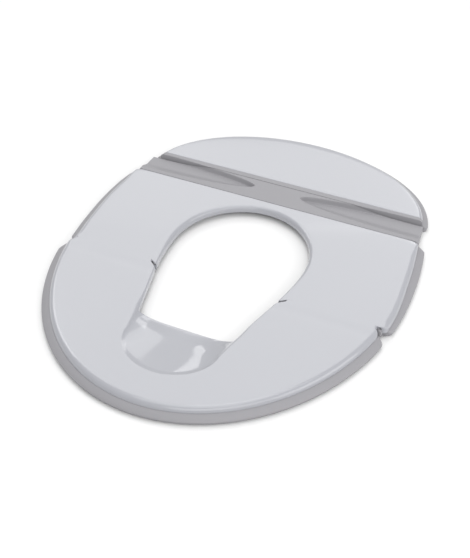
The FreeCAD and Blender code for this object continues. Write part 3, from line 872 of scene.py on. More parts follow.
@dataclass
class Scoop:
    """The splash scoop: a smooth floor that rises to the front, with sloping sides and a soft edge."""

    plan: SeatPlan
    straight: float = 23.9
    half_width: float = 43.1
    reach: float = 37.8
    lean: float = 0.195
    flare_length: float = 9.5
    bend_ease: float = 6.0
    edge_round: float = 3.2
    side_slope: float = 60.0
    front_slope: float = 14.0
    rear_depth: float = 8.8
    front_depth: float = 0.3
    depth_power: float = 1.08
    rear_power: float = 5.2
    front_power: float = 3.0
    power_ease: float = 3.0
    rear_blend: float = 1.6
    front_blend: float = 0.6
    tip_room: float = 1e-4

    @property
    def bend_y(self) -> float:
        """Where the leaning sides meet the front's half ellipse."""
        return self.plan.opening_front_y - self.straight

    def nearness(self, y: Array) -> Array:
        """Returns 1 at the opening, falling smoothly to 0 over the flare's length."""
        return smoothstep((y - self.plan.opening_front_y) / self.flare_length + 1.0)

    def top_x(self, y: Array) -> Array:
        """Returns half the width of the top outline behind bend_y: a leaning line with a flare."""
        plan = self.plan
        roll_top = float(plan.rim_x(np.array(plan.opening_front_y), 0.0)) + plan.rim_round
        flare = roll_top - self.half_width - self.lean * self.straight
        return self.half_width + self.lean * (y - self.bend_y) + flare * self.nearness(y)

    def ray_length(self, angle: Array) -> Array:
        """Length of rays from the middle of the opening's front edge to the scoop's top outline.

        Args:
            angle: The rays' angles from +X towards the front, rising, in radians.

        Returns:
            Lengths read off the outline, which is the leaning side and then a quarter ellipse.
        """
        side_y = np.linspace(self.plan.opening_front_y, self.bend_y, 120)
        turn = quarter_turn(240)[1:]
        x = np.concatenate([self.top_x(side_y), self.half_width * np.cos(turn)])
        y = np.concatenate([side_y, self.bend_y - self.reach * np.sin(turn)])
        down = self.plan.opening_front_y - y
        return np.interp(angle, np.arctan2(down, x), np.hypot(x, down))

    def edge_distance(self, x: Array, y: Array) -> Array:
        """Returns how far a point lies inside the top outline, from the sides and from the ellipse."""
        side = (self.top_x(y) - np.abs(x)) * math.cos(math.radians(self.plan.side_turn))
        across = x / self.half_width
        along = np.minimum(y - self.bend_y, 0.0) / self.reach
        steep = np.sqrt((across / self.half_width) ** 2 + (along / self.reach) ** 2)
        round_end = (1.0 - across ** 2 - along ** 2) / (2.0 * np.maximum(steep, 1e-3))
        share = smoothstep((self.bend_y - y) / self.bend_ease + 0.5)
        return side * (1.0 - share) + round_end * share

    def edge_radius(self, y: Array) -> Array:
        """Returns the soft edge's radius, which starts as the rim's and tightens towards the front."""
        return self.edge_round + (self.plan.rim_round - self.edge_round) * self.nearness(y)

    def drop(self, x: Array, y: Array) -> Array:
        """How far the surface lies below the seat's top.

        A round edge runs into a straight slope. The bowl's own depth falls nearly evenly from the
        opening to the front, and across the seat as a power of the way to the outline: a high power
        at the opening, which leaves a broad floor, and a low one towards the front. The lower of
        the two, with a soft corner between them no wider than the bowl is deep, is the drop.

        Args:
            x: Places across the seat.
            y: Places along the seat.

        Returns:
            The drop, 0 outside the outline.
        """
        inside = np.maximum(self.edge_distance(x, y), 0.0)
        front = np.clip((self.bend_y - y) / self.reach, 0.0, 1.0)
        slope = np.radians(self.side_slope + (self.front_slope - self.side_slope) * np.sqrt(front))
        radius = self.edge_radius(y)
        bend = radius * np.sin(slope)
        straight = np.maximum(inside - bend, 0.0) * np.tan(slope)
        edge = arc_drop(radius, np.minimum(inside, bend)) + straight
        back = smoothstep((y - self.bend_y) / self.straight)
        round_half = self.half_width * np.sqrt(1.0 + self.tip_room - front ** 2)
        half = np.where(y > self.bend_y, self.top_x(y), round_half)
        across = np.clip(np.abs(x) / half, 0.0, 1.0)
        power = self.front_power + (self.rear_power - self.front_power) * back ** self.power_ease
        way = np.clip((self.plan.opening_front_y - y) / (self.straight + self.reach), 0.0, 1.0)
        depth = self.rear_depth + (self.front_depth - self.rear_depth) * way ** self.depth_power
        bowl = self.front_depth + (depth - self.front_depth) * (1.0 - across ** power)
        blend = self.front_blend + (self.rear_blend - self.front_blend) * back
        return soft_min(edge, bowl, np.minimum(blend, bowl))


@dataclass
class FrontPanel(Assembly):
    """The light front panel: the ring's front, with the scoop moulded into it."""

    fold: FoldShape
    scoop: Scoop
    spine_length: float = 37.0
    spine_power: float = 1.5
    dip: float = 0.25
    dip_length: float = 20.0
    scoop_rows: int = 22
    scoop_row_power: float = 0.75
    notch_detail: tuple[float, float] = (10.0, 16.0)
    roll_rows: int = 13
    first_roll_row: int = 4

    def sides(self) -> Array:
        """Returns the grid of the right side, from the fold to the opening's front edge."""
        plan, fold = self.plan, self.fold
        end = fold.front_y
        stops = [end, *(end - past for past in self.notch_detail), plan.opening_front_y]
        y = graded(stops, [26, 8, 15])
        rows = Band(
            plan,
            side_outline(y, lambda inset: plan.rim_x(y, inset) + fold.rim_shift(y)),
            side_outline(y, lambda inset: plan.edge_x(y, inset) - fold.edge_shift(y)),
            fold.eased_rim(y),
            fold.eased_edge(y),
        ).rows()
        share = np.clip((end - y) / self.dip_length, 0.0, 1.0)
        rows[..., 2] -= self.dip * np.sin(math.pi * share) ** 2
        return rows

    def front(self, seam: Array) -> Array:
        """The grid in front of the opening: rays over the scoop's edge to the outer edge.

        Args:
            seam: The last column of the side's grid, which the first ray repeats.

        Returns:
            Rows from the scoop's middle line outwards, and a column for each ray.
        """
        plan = self.plan
        angle = np.radians(graded([0.0, 12.0, 90.0], [10, 44]))
        length = self.scoop.ray_length(angle)
        _, edge_y = plan.front_ray(angle, length)
        turns = quarter_turn(self.roll_rows)[self.first_roll_row:, None]
        roll_x, roll_y = plan.front_ray(angle, length - self.scoop.edge_radius(edge_y) * np.cos(turns))
        spine_y = plan.opening_front_y - self.spine_length * np.sin(angle) ** self.spine_power
        share = np.linspace(0.0, 1.0, self.scoop_rows, endpoint=False)[:, None] ** self.scoop_row_power
        x = np.concatenate([roll_x[0] * share, roll_x])
        y = np.concatenate([spine_y + (roll_y[0] - spine_y) * share, roll_y])
        basin = grid(x, y, plan.top - self.scoop.drop(x, y))
        outer = Band(
            plan,
            lambda inset: (x[-1:], y[-1:]),
            lambda inset: plan.front_ray(angle, plan.front_ray_edge(angle, inset)),
            np.full_like(angle, plan.rim_round),
            np.full_like(angle, plan.edge_round),
        )
        edge = outer.edge_rows()
        whole = np.concatenate([basin, rows_between(basin[-1], edge[0], outer.flat_rows), edge])
        shared = len(whole) - self.scoop_rows
        whole[self.scoop_rows:, 0] = seam[len(seam) - shared:]
        return whole

    def build(self) -> Pieces:
        """Returns the panel."""
        side = self.sides()
        front = Patch(both_sides(self.front(side[:, -1])))
        patches = [Patch(side), Patch(side).mirrored(), front]
        panel = MeshShop.write("front_panel", patches, wall=self.plan.wall)
        return self.finishes.mount([panel], Slot.SEAT, Body.FRONT, "front_seat_shell")


@dataclass
class FoldSkin(Assembly):
    """The thin skin that joins the two ring panels at the fold."""

    fold: FoldShape
    thickness: float = 0.8
    across_steps: int = 9

    def section(self) -> Array:
        """The right strip's grid: a closed section across the seat, carried over the fold.

        Returns:
            Rows round the section, which has quarter rounds at both ends, and a column for each
            step over the fold.
        """
        fold, plan = self.fold, self.plan
        y = np.linspace(fold.front_y, fold.middle_y, self.across_steps)
        low_x = plan.rim_x(np.array(fold.front_y), 0.0) + fold.rim_notch
        high_x = plan.edge_x(np.array(fold.front_y), 0.0) - fold.edge_notch
        turn = quarter_turn(7)
        left_in, left_fall = quarter_round(fold.rim_round, turn)
        right_in, right_fall = quarter_round(fold.edge_round, turn[::-1])
        flat_x = np.linspace(low_x + left_in[-1], high_x - right_in[0], 22)[1:-1]
        x = np.concatenate([low_x + left_in, flat_x, high_x - right_in])
        z = plan.top - np.concatenate([left_fall, np.zeros_like(flat_x), right_fall])
        under = np.minimum(plan.top - self.thickness, z[::-1] - self.thickness)
        x, z = np.concatenate([x, x[::-1]]), np.concatenate([z, under])
        return grid(x[:, None], y[None, :], z[:, None])

    def build(self) -> Pieces:
        """Returns the right and the left strip."""
        right = Patch.tube(self.section())
        start = (0.0, self.fold.front_y * MM, self.plan.top * MM)
        end = (0.0, self.fold.middle_y * MM, self.plan.top * MM)
        made = []
        for name, patch in (("fold_skin_right", right), ("fold_skin_left", right.mirrored())):
            strip = MeshShop.write(name, [patch])
            self.finishes.dress(strip, Slot.SEAT)
            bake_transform(strip)
            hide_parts(name.replace("skin", "web"))
            made.append(strip)
        return made


# -------------------- Grey base: skirts, floor plates, bridge --------------------


@dataclass
class SkirtRail:
    """The grey skirt: a bead that falls away from the light panel, over a narrow lip.

    The bead's top is a flattened quarter ellipse from the crevice out to its edge; the lip stands
    below it, set back under the bead. The section shrinks inwards at the rail's ends, as a quarter
    ellipse, so that they are round in plan.
    """

    plan: SeatPlan
    width: float = 6.5
    edge_z: float = 3.9
    flatness: float = 1.5
    bead_turn: float = 84.0
    recess: float = 1.0
    lip_low: float = 0.6
    end_round: float = 6.0
    lap: float = 0.6
    end_width: float = 1.0
    widen_length: float = 60.0
    tuck: float = 0.9

    def section(self) -> Points:
        """Returns the closed section's outward places and heights."""
        low = self.plan.plate_low
        crown = self.plan.crevice + self.lap
        turn = np.radians(np.linspace(0.0, self.bead_turn, 12))
        bead_out = self.width * np.sin(turn) ** self.flatness
        bead_z = self.edge_z + (crown - self.edge_z) * np.cos(turn) ** self.flatness
        out, lip, edge, foot = self.width, self.width - self.recess, self.edge_z, self.lip_low
        corners = np.array([
            (out, edge), (out, edge - 0.35), (out - 0.15, edge - 0.6), (lip, edge - 0.7),
            (lip, edge - 1.0), (lip - 0.1, foot + 0.25), (lip - 0.5, foot),
            (0.7, foot), (0.5, foot + 0.2), (0.5, low), (-self.tuck, low), (-self.tuck, crown - 0.6),
        ])
        return np.concatenate([bead_out, corners[:, 0]]), np.concatenate([bead_z, corners[:, 1]])

    def patch(self, outline: Outline) -> Patch:
        """Carries the section along an outline.

        Args:
            outline: Gives the points at an outward distance, rows by columns.

        Returns:
            The rail as a closed patch.
        """
        outward, z = (values[:, None] for values in self.section())
        base_x, base_y = outline(np.zeros((1, 1)))
        step = np.hypot(np.diff(base_x[0]), np.diff(base_y[0]))
        way = np.concatenate([[0.0], np.cumsum(step)])
        nearest = np.minimum(way, way[-1] - way)
        share = np.clip(nearest / self.end_round, 0.0, 1.0)
        reach = np.sqrt(1.0 - (1.0 - share) ** 2)
        reach = reach * (self.end_width + (1.0 - self.end_width) * smoothstep(nearest / self.widen_length))
        x, y = outline(np.where(outward > 0.0, outward * reach, outward))
        return Patch.tube(grid(x, y, z))


@dataclass
class FloorPlate:
    """A panel's grey floor plate, with a rib that stands round the opening."""

    plan: SeatPlan
    rib_setback: float = 5.0
    rib: float = 2.0
    rib_gap: float = 0.25
    margin: float = 0.4
    wall_depth: float = 1.6
    wall_inset: float = 0.12
    wall_soft: float = 0.4

    @property
    def rib_top(self) -> float:
        """The height of the rib and the walls, a little below the light panel's inside."""
        return self.plan.top - self.plan.wall - self.rib_gap

    def patch(self, hole: Outline, edge: Outline) -> Patch:
        """A closed section from the hole to the outer edge, with the rib at the hole.

        Args:
            hole: Gives the right half's points at a distance outside the opening.
            edge: Gives the right half's points at an inset from the outer edge.

        Returns:
            The plate, on both sides of the seat's middle plane.
        """
        low, high = self.plan.plate_low, self.plan.plate_high
        behind, ahead = self.rib_setback + self.rib, self.rib_setback
        hole_x, hole_y = hole(np.array([behind, behind, ahead, ahead])[:, None])
        rib = grid(hole_x, hole_y, np.array([high, self.rib_top, self.rib_top, low])[:, None])
        edge_x, edge_y = edge(np.full((2, 1), self.margin))
        outer = grid(edge_x, edge_y, np.array([low, high])[:, None])
        under = rows_between(rib[-1], outer[0], 4)
        over = rows_between(outer[-1], rib[0], 4)
        return Patch.tube(both_sides(np.concatenate([rib, under, outer, over])))

    def cross_wall(self, y: float, side: float, low_x: float, high_x: float) -> Patch:
        """The upright wall under a panel's end at the fold.

        Args:
            y: The panel's end.
            side: Which way the wall's depth goes from there, 1 to the rear or -1 to the front.
            low_x: Its inner end.
            high_x: Its outer end.

        Returns:
            The wall as a closed patch with softened upper edges and its foot inside the plate.
        """
        top, soft = self.rib_top, self.wall_soft
        foot = (self.plan.plate_low + self.plan.plate_high) / 2.0
        inset, depth = self.wall_inset, self.wall_depth
        section_y = y + side * np.array([inset, inset, inset + soft, depth - soft, depth, depth])
        section_z = np.array([foot, top - soft, top, top, top - soft, foot])
        x = np.linspace(low_x, high_x, 12)
        return Patch.tube(grid(x[None, :], section_y[:, None], section_z[:, None]))


@dataclass
class ScrewCups:
    """Raised collars round the screws' heads on a plate's underside."""

    plan: SeatPlan
    inner: float = 3.45
    outer: float = 4.7
    low: float = 0.95
    sunk: float = 0.3
    search_radius: float = 8.625

    def centres(self, node: str) -> list[tuple[float, float]]:
        """The screws' places, read from a node's mesh.

        Args:
            node: The node that holds the screws.

        Returns:
            One point in plan for each screw.
        """
        mesh = frame["nodes"][node].data
        flat = np.zeros(len(mesh.vertices) * 3, np.float32)
        mesh.vertices.foreach_get("co", flat)
        plan_points = flat.reshape(-1, 3)[:, :2] / MM
        found = []
        while len(plan_points):
            near = np.hypot(*(plan_points - plan_points[0]).T) < self.search_radius
            low, high = plan_points[near].min(0), plan_points[near].max(0)
            found.append((float(low[0] + high[0]) / 2, float(low[1] + high[1]) / 2))
            plan_points = plan_points[~near]
        return found

    def patches(self, node: str) -> list[Patch]:
        """The collars, each a rounded section turned about its screw's axis.

        Args:
            node: The node that holds the screws.

        Returns:
            One closed ring for each screw.
        """
        inner, outer, low, buried = self.inner, self.outer, self.low, self.plan.plate_low + self.sunk
        radius, z = np.array([
            (inner, buried), (inner, low + 0.2), (inner + 0.2, low),
            (outer - 0.5, low), (outer - 0.1, low + 0.2), (outer, buried),
        ]).T[..., None]
        turn = full_turn(28)
        rings = []
        for x, y in self.centres(node):
            points = grid(x + radius * np.cos(turn), y + radius * np.sin(turn), z)
            rings.append(Patch(points, wrap_rows=True, wrap_columns=True))
        return rings


@dataclass
class MiddleBase(Assembly):
    """The middle panel's grey base: two side skirts, and a floor plate with its rib and walls."""

    fold: FoldShape
    skirt_start: float = 3.6
    skirt_past: float = 0.6
    skirt_end_round: float = 4.5
    end_detail: float = 6.0
    post_radius: float = 2.6
    post_drop: float = 2.6
    post_inset: float = 0.6
    post_setback: float = 1.0

    def skirt(self) -> Patch:
        """Returns the right skirt, from the fold to the ring's rear corner."""
        plan = self.plan
        low, high = plan.fold_y + self.skirt_start, plan.rear_y + self.skirt_past
        y = graded([low, low + self.end_detail, high - self.end_detail, high], [16, 34, 16])
        rail = SkirtRail(plan, end_round=self.skirt_end_round)
        return rail.patch(side_outline(y, lambda outset: plan.edge_x(y, -outset)))

    def plate(self, plate: FloorPlate) -> Patch:
        """Carries a plate's section along both sides and round the rear.

        Args:
            plate: The plate's sizes.

        Returns:
            The plate as a closed patch.
        """
        plan = self.plan
        y = np.linspace(self.fold.middle_y, plan.opening_y, 18)
        angle = np.radians(graded([0.0, 22.0, 38.0, 90.0], [8, 14, 22]))[1:]
        hole = joined(
            side_outline(y, lambda outset: plan.rim_x(y, outset)),
            lambda outset: plan.rear_ray(angle, plan.rear_ray_rim(angle, outset)),
        )
        edge = joined(
            side_outline(y, lambda inset: plan.edge_x(y, inset)),
            lambda inset: plan.rear_ray(angle, plan.rear_ray_edge(angle, inset)),
        )
        return plate.patch(hole, edge)

    def corner_post(self, outer: float) -> Patch:
        """Returns the domed post that fills the outer corner between the panels, at a wall's outer end."""
        turn = full_turn(28)
        low, high = self.plan.plate_low, self.plan.top - self.post_drop
        share, z = np.array([
            (0.0, low), (1.0, low), (1.0, high - 0.9), (0.93, high - 0.5),
            (0.72, high - 0.2), (0.4, high - 0.05), (0.0, high),
        ]).T[..., None]
        x = outer - self.post_inset + share * self.post_radius * np.cos(turn)
        y = self.fold.middle_y + self.post_setback + share * self.post_radius * np.sin(turn)
        return Patch(grid(x, y, z), wrap_columns=True)

    def build(self) -> Pieces:
        """Returns the plate, the two skirts and the screws' collars."""
        plan, end = self.plan, np.array(self.fold.middle_y)
        plate = FloorPlate(plan)
        inner = float(plan.rim_x(end, 0.0)) + plate.rib_setback + plate.rib
        outer = float(plan.edge_x(end, 0.0)) - plan.wall
        wall = plate.cross_wall(self.fold.middle_y, 1.0, inner, outer)
        post = self.corner_post(outer)
        patches = [self.plate(plate), wall, wall.mirrored(), post, post.mirrored()]
        right = self.skirt()
        left = right.mirrored()
        for patch in (*patches, left):
            patch.points = plan.settled(patch.points, right=False)
        made = [
            MeshShop.write("middle_floor_plate", patches),
            MeshShop.write("middle_skirt_right", [right]),
            MeshShop.write("middle_skirt_left", [left]),
            MeshShop.write("middle_screw_collars", ScrewCups(plan).patches("middle_screws")),
        ]
        return self.finishes.mount(made, Slot.TRIM, Body.MIDDLE, "middle_base")


@dataclass
class FrontBase(Assembly):
    """The front panel's grey base: one skirt round the front, and a floor plate."""

    fold: FoldShape
    scoop: Scoop
    skirt_start: float = 5.4
    skirt_end_round: float = 8.0
    end_detail: float = 7.0
    bulge: float = 0.3
    rib_ease: float = 14.0

    def skirt(self) -> Patch:
        """Returns the skirt, from its right end at the fold round the front to the left one."""
        plan = self.plan
        end = math.asin((plan.fold_y - self.skirt_start - plan.centre_y) / plan.front_reach)
        ease = self.end_detail / plan.front_reach
        turn = graded([end, end - ease, -math.pi - end + ease, -math.pi - end], [18, 150, 18])
        rail = SkirtRail(plan, end_round=self.skirt_end_round)

        def outline(outset: Array) -> Points:
            """Returns points on the front ellipse grown by outset, and a little more between its axes."""
            bulge = self.bulge * np.clip(outset / rail.width, 0.0, 1.0) * np.sin(2.0 * turn) ** 2
            return plan.front_arc(turn, outset + bulge)

        return rail.patch(outline)

    def plate(self, plate: FloorPlate) -> Patch:
        """Carries a plate's section from the fold round the scoop to the other side.

        Args:
            plate: The plate's sizes.

        Returns:
            The plate as a closed patch.
        """
        plan, fold = self.plan, self.fold
        y = graded([fold.front_y, fold.front_y - 9.0, plan.opening_front_y], [12, 18])
        angle = np.radians(graded([0.0, 12.0, 90.0], [6, 26]))[1:]
        scoop_length = self.scoop.ray_length(angle)
        ease = plan.rim_round * smoothstep((plan.opening_front_y + self.rib_ease - y) / self.rib_ease)
        hole = joined(
            side_outline(y, lambda outset: plan.rim_x(y, outset) + fold.rim_shift(y) + ease),
            lambda outset: plan.front_ray(angle, scoop_length + outset),
        )
        edge = joined(
            side_outline(y, lambda inset: plan.edge_x(y, inset) - fold.edge_shift(y)),
            lambda inset: plan.front_ray(angle, plan.front_ray_edge(angle, inset)),
        )
        return plate.patch(hole, edge)

    def build(self) -> Pieces:
        """Returns the plate, the skirt and the screws' collars."""
        plan, fold, end = self.plan, self.fold, np.array(self.fold.front_y)
        plate = FloorPlate(plan)
        inner = float(plan.rim_x(end, 0.0)) + fold.rim_notch + plan.wall
        outer = float(plan.edge_x(end, 0.0)) - fold.edge_notch - plan.wall
        wall = plate.cross_wall(fold.front_y, -1.0, inner, outer)
        made = [
            MeshShop.write("front_floor_plate", [self.plate(plate), wall, wall.mirrored()]),
            MeshShop.write("front_skirt", [self.skirt()]),
            MeshShop.write("front_screw_collars", ScrewCups(plan).patches("front_screws")),
        ]
        return self.finishes.mount(made, Slot.TRIM, Body.FRONT, "front_base")


@dataclass
class RearBridge(Assembly):
    """The grey band behind the ring, with a finger channel pressed into each half."""

    seam: float = 0.3
    hinge_gap: float = 0.4
    right_half_widths: tuple[float, float] = (142.5, 139.0)
    left_half_widths: tuple[float, float] = (145.3, 144.6)
    depth: float = 5.0
    tip_left: float = 28.0
    tip_right: float = 20.0
    tip_steepness: float = 0.25
    channel_length: float = 118.0
    axis_setback: float = 19.9
    near_reach: float = 15.5
    far_reach: float = 12.5
    slope: float = 12.2
    far_slope: float = 2.4
    straight_share: float = 0.55
    corner_blend: float = 1.6
    edge_round: float = 0.45
    end_round: float = 3.0

    def swell(self, x: Array) -> Array:
        """Returns the channels' widening, as an ellipse's, from 0 at their tips to 1 at their ends."""
        tip = np.where(x < 0.0, self.tip_left, self.tip_right)
        share = np.clip((np.abs(x) - tip) / self.channel_length, 0.0, 1.0)
        return np.sqrt(1.0 - (1.0 - share) ** 2)

    def far_edge(self, x: Array) -> Array:
        """Returns where the channels' far walls end at the top."""
        return self.plan.rear_y + self.axis_setback + self.far_reach * self.swell(x)

    def drop(self, x: Array, y: Array) -> Array:
        """How far the channels lie below the top.

        A long slope falls from each channel's near side and a short one from its far side. The
        lower of the two and the floor is the drop.

        Args:
            x: Places across the band.
            y: Places along the seat.

        Returns:
            The drop, 0 on the flush middle and on the near ledge.
        """
        swell = self.swell(x)
        axis = self.plan.rear_y + self.axis_setback
        steepness = self.tip_steepness + (1.0 - self.tip_steepness) * swell
        near = (y - axis + self.near_reach * swell) / (self.slope * steepness)
        far = (self.far_edge(x) - y) / self.far_slope
        falls = self.depth * self.eased(near), self.depth * self.eased(far)
        return np.maximum(soft_min(*falls, self.corner_blend), 0.0)

    def eased(self, way: Array) -> Array:
        """Returns a slope's height from 0 to 1, straight in the middle and soft at both ends."""
        held = np.clip(way, 0.0, 1.0)
        return self.straight_share * held + (1.0 - self.straight_share) * smoothstep(held)

    def top_patch(self) -> Patch:
        """Returns the band's top with its four side walls, down to the floor plate's underside."""
        plan = self.plan
        low_y, high_y = plan.rear_y + self.seam, plan.hinge_y - self.hinge_gap
        y = graded([low_y, low_y + 0.9, low_y + 22.0, high_y - 0.9, high_y], [4, 36, 24, 4])[:, None]
        across = graded([-1.0, -0.985, -0.25, -0.12, 0.12, 0.25, 0.985, 1.0], [8, 90, 44, 12, 44, 90, 8])
        way = (y - low_y) / (high_y - low_y)
        right, left = (
            near + (far - near) * way for near, far in (self.right_half_widths, self.left_half_widths)
        )
        half = np.where(across > 0.0, right, left)
        x = across * half
        room = half - np.abs(x)
        border = np.minimum(y - low_y, room)
        round_drop = arc_drop(self.edge_round, self.edge_round - np.clip(border, 0.0, self.edge_round))
        end_drop = arc_drop(self.end_round, self.end_round - np.clip(room, 0.0, self.end_round))
        z = plan.top - np.maximum(self.drop(x, y), end_drop) - round_drop
        framed = np.pad(grid(x, y, z), ((1, 1), (1, 1), (0, 0)), mode="edge")
        ground = np.ones(framed.shape[:2], bool)
        ground[1:-1, 1:-1] = False
        framed[ground, 2] = plan.plate_low
        return Patch(framed)

    def build(self) -> Pieces:
        """Returns the band."""
        top = self.top_patch()
        under = top.points.copy()
        under[:, :, 2] = self.plan.plate_low
        bridge = MeshShop.write("rear_bridge_band", [top, Patch(under[::-1])], crease=50.0)
        return self.finishes.mount([bridge], Slot.TRIM, Body.MIDDLE, "rear_bridge")


# -------------------- Rear flap --------------------


@dataclass
class RearFlap(Assembly):
    """The crescent flap: a light panel, a grey ledge along the hinge, a skirt and a plate."""

    bridge: RearBridge
    panel_round: float = 4.6
    front_round: float = 0.5
    hidden_wall: float = 1.0
    end_crowding: float = 1.35
    ledge_seam: float = 0.25
    ledge_least_y: float = 0.35
    ledge_foot_y: float = 0.3
    ledge_open_length: float = 0.8
    ledge_round: tuple[float, float] = (0.4, 0.9)
    plate_margin: float = 0.4
    plate_setback: float = 1.5
    skirt_start: float = 0.6
    skirt_end_round: float = 3.6
    skirt_end_width: float = 0.78
    end_detail: float = 7.0

    def ring(self, inset: float, y: float, count: int = 120) -> Points:
        """One row of points round the flap, close together near both ends.

        Args:
            inset: How far inside the flap's edge.
            y: The line at which the row starts on the right and ends on the left.
            count: How many points.

        Returns:
            The points in plan.
        """
        start = math.asin((y - self.plan.flap_y) / (self.plan.flap_reach - inset))
        even = np.linspace(-1.0, 1.0, count)
        bent = np.sign(even) * (1.0 - (1.0 - np.abs(even)) ** self.end_crowding)
        return self.plan.flap_arc(math.pi / 2 + bent * (math.pi / 2 - start), -inset)

    def panel(self) -> Patch:
        """Returns the light panel's skin: the outer wall and roll, the flat, and the front edge."""
        plan, front, soft = self.plan, self.plan.flap_panel_y, self.front_round
        roll_in, roll_fall = quarter_round(self.panel_round, quarter_turn(12))
        foot = plan.crevice - self.hidden_wall
        middle = (plan.crevice + plan.top - self.panel_round) / 2 - self.hidden_wall / 2
        insets = [0.0, 0.0, *roll_in]
        heights = [foot, middle, *(plan.top - roll_fall)]
        rows = [grid(*self.ring(inset, front), z) for inset, z in zip(insets, heights)]
        x, last_y, _ = rows[-1].T
        for share in np.linspace(0.0, 1.0, 16)[1:]:
            y = last_y + (np.minimum(front + soft, last_y) - last_y) * share
            rows.append(grid(x, y, plan.top))
        for fall, back in zip(*quarter_round(soft, quarter_turn(5)[1:])):
            rows.append(grid(x, np.minimum(last_y, front + back), plan.top - fall))
        rows.append(grid(x, np.minimum(last_y, front), plan.top - plan.wall - self.hidden_wall))
        return Patch(np.stack(rows))

    def ledge(self) -> Patch:
        """Returns the grey ledge and its slanted front wall, closed, whose ends roll down."""
        plan = self.plan
        back = plan.flap_panel_y - self.ledge_seam
        foot_y, least_y = plan.hinge_y + self.ledge_foot_y, plan.hinge_y + self.ledge_least_y
        across = graded([-1.0, -0.955, 0.955, 1.0], [14, 110, 14])
        top_y = np.maximum(self.bridge.far_edge(across * plan.flap_half_width)[None, :], least_y)
        open_share = smoothstep((top_y - least_y) / self.ledge_open_length)
        closed_soft, open_soft = self.ledge_round
        soft = closed_soft + (open_soft - closed_soft) * open_share
        fall, setback = quarter_round(soft, np.radians(np.linspace(0.0, 80.0, 6))[:, None])
        level = np.ones_like(top_y)
        y = np.concatenate([back * level, top_y + setback, foot_y * level, foot_y * level, back * level])
        heights = [plan.top * level, plan.top - fall, plan.plate_high * level, plan.plate_low * level,
                   plan.plate_low * level]
        z = np.concatenate(heights)
        rise = (np.maximum(y, foot_y) - plan.flap_y) / plan.flap_reach
        half = plan.flap_half_width * np.sqrt(1.0 - rise ** 2)
        x = half * across
        past = np.clip(np.abs(x) - (half - self.panel_round), 0.0, self.panel_round)
        rolled = np.minimum(z, plan.top - arc_drop(self.panel_round, past))
        return Patch.tube(grid(x, y, np.where(z > plan.plate_high, rolled, z)))

    def plate(self) -> Patch:
        """Returns the floor plate, closed, between its curved edge and the hinge."""
        plan = self.plan
        front = plan.hinge_y + self.ledge_foot_y
        x, y = self.ring(self.plate_margin, front + self.plate_setback)
        share = np.linspace(0.0, 1.0, 8)[:, None]
        under = grid(x, y + (front - y) * share, plan.plate_low)
        over = grid(x, front + (y - front) * share, plan.plate_high)
        return Patch.tube(np.concatenate([under, over]))

    def skirt(self) -> Patch:
        """Returns the skirt round the flap's curved edge."""
        plan = self.plan
        start = math.asin((plan.hinge_y + self.skirt_start - plan.flap_y) / plan.flap_reach)
        ease = self.end_detail / plan.flap_reach
        turn = graded([start, start + ease, math.pi - start - ease, math.pi - start], [18, 110, 18])
        rail = SkirtRail(plan, end_round=self.skirt_end_round, end_width=self.skirt_end_width)
        return rail.patch(lambda outset: plan.flap_arc(turn, outset))

    def build(self) -> Pieces:
        """Returns the flap's panel, ledge, plate, skirt and screw collars."""
        panel = [MeshShop.write("flap_panel", [self.panel()], wall=self.plan.wall)]
        self.finishes.mount(panel, Slot.SEAT, Body.FLAP, "flap_seat_shell")
        grey = [
            MeshShop.write("flap_hinge_ledge", [self.ledge()]),
            MeshShop.write("flap_floor_plate", [self.plate()]),
            MeshShop.write("flap_skirt", [self.skirt()]),
            MeshShop.write("flap_screw_collars", ScrewCups(self.plan).patches("flap_screws")),
        ]
        return panel + self.finishes.mount(grey, Slot.TRIM, Body.FLAP, "flap_base")


@dataclass
class FlapHingeSkin(Assembly):
    """The long flexible web under both plates, with bending grooves along it."""

    half_width: float = 130.0
    reach: float = 4.0
    thickness: float = 0.7
    groove: float = 0.22
    groove_pitch: float = 1.6
    rigid: float = 1.4
    gap: float = 0.1

    def build(self) -> Pieces:
        """Returns the web: a grooved section across the hinge, carried along it."""
        plan = self.plan
        across = np.linspace(-self.reach, self.reach, 41)
        wave = 0.5 - 0.5 * np.cos(across * 2.0 * math.pi / self.groove_pitch)
        middle = np.clip(1.0 - np.abs(across) / self.rigid, 0.0, 1.0)
        high = plan.plate_low - self.gap
        under = high - self.thickness + self.groove * wave * smoothstep(middle * 2.0)
        y = plan.hinge_y + np.concatenate([across, across[::-1]])
        z = np.concatenate([under, np.full_like(across, high)])
        x = np.linspace(-self.half_width, self.half_width, 30)
        web = MeshShop.write("flap_hinge_skin", [Patch.tube(grid(x[None, :], y[:, None], z[:, None]))])
        self.finishes.dress(web, Slot.WEB)
        start = (0.0, (plan.hinge_y - self.rigid) * MM, high * MM)
        end = (0.0, (plan.hinge_y + self.rigid) * MM, high * MM)
        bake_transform(web)
        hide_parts("flap_web")
        return [web]


# -------------------- Pads and screws --------------------


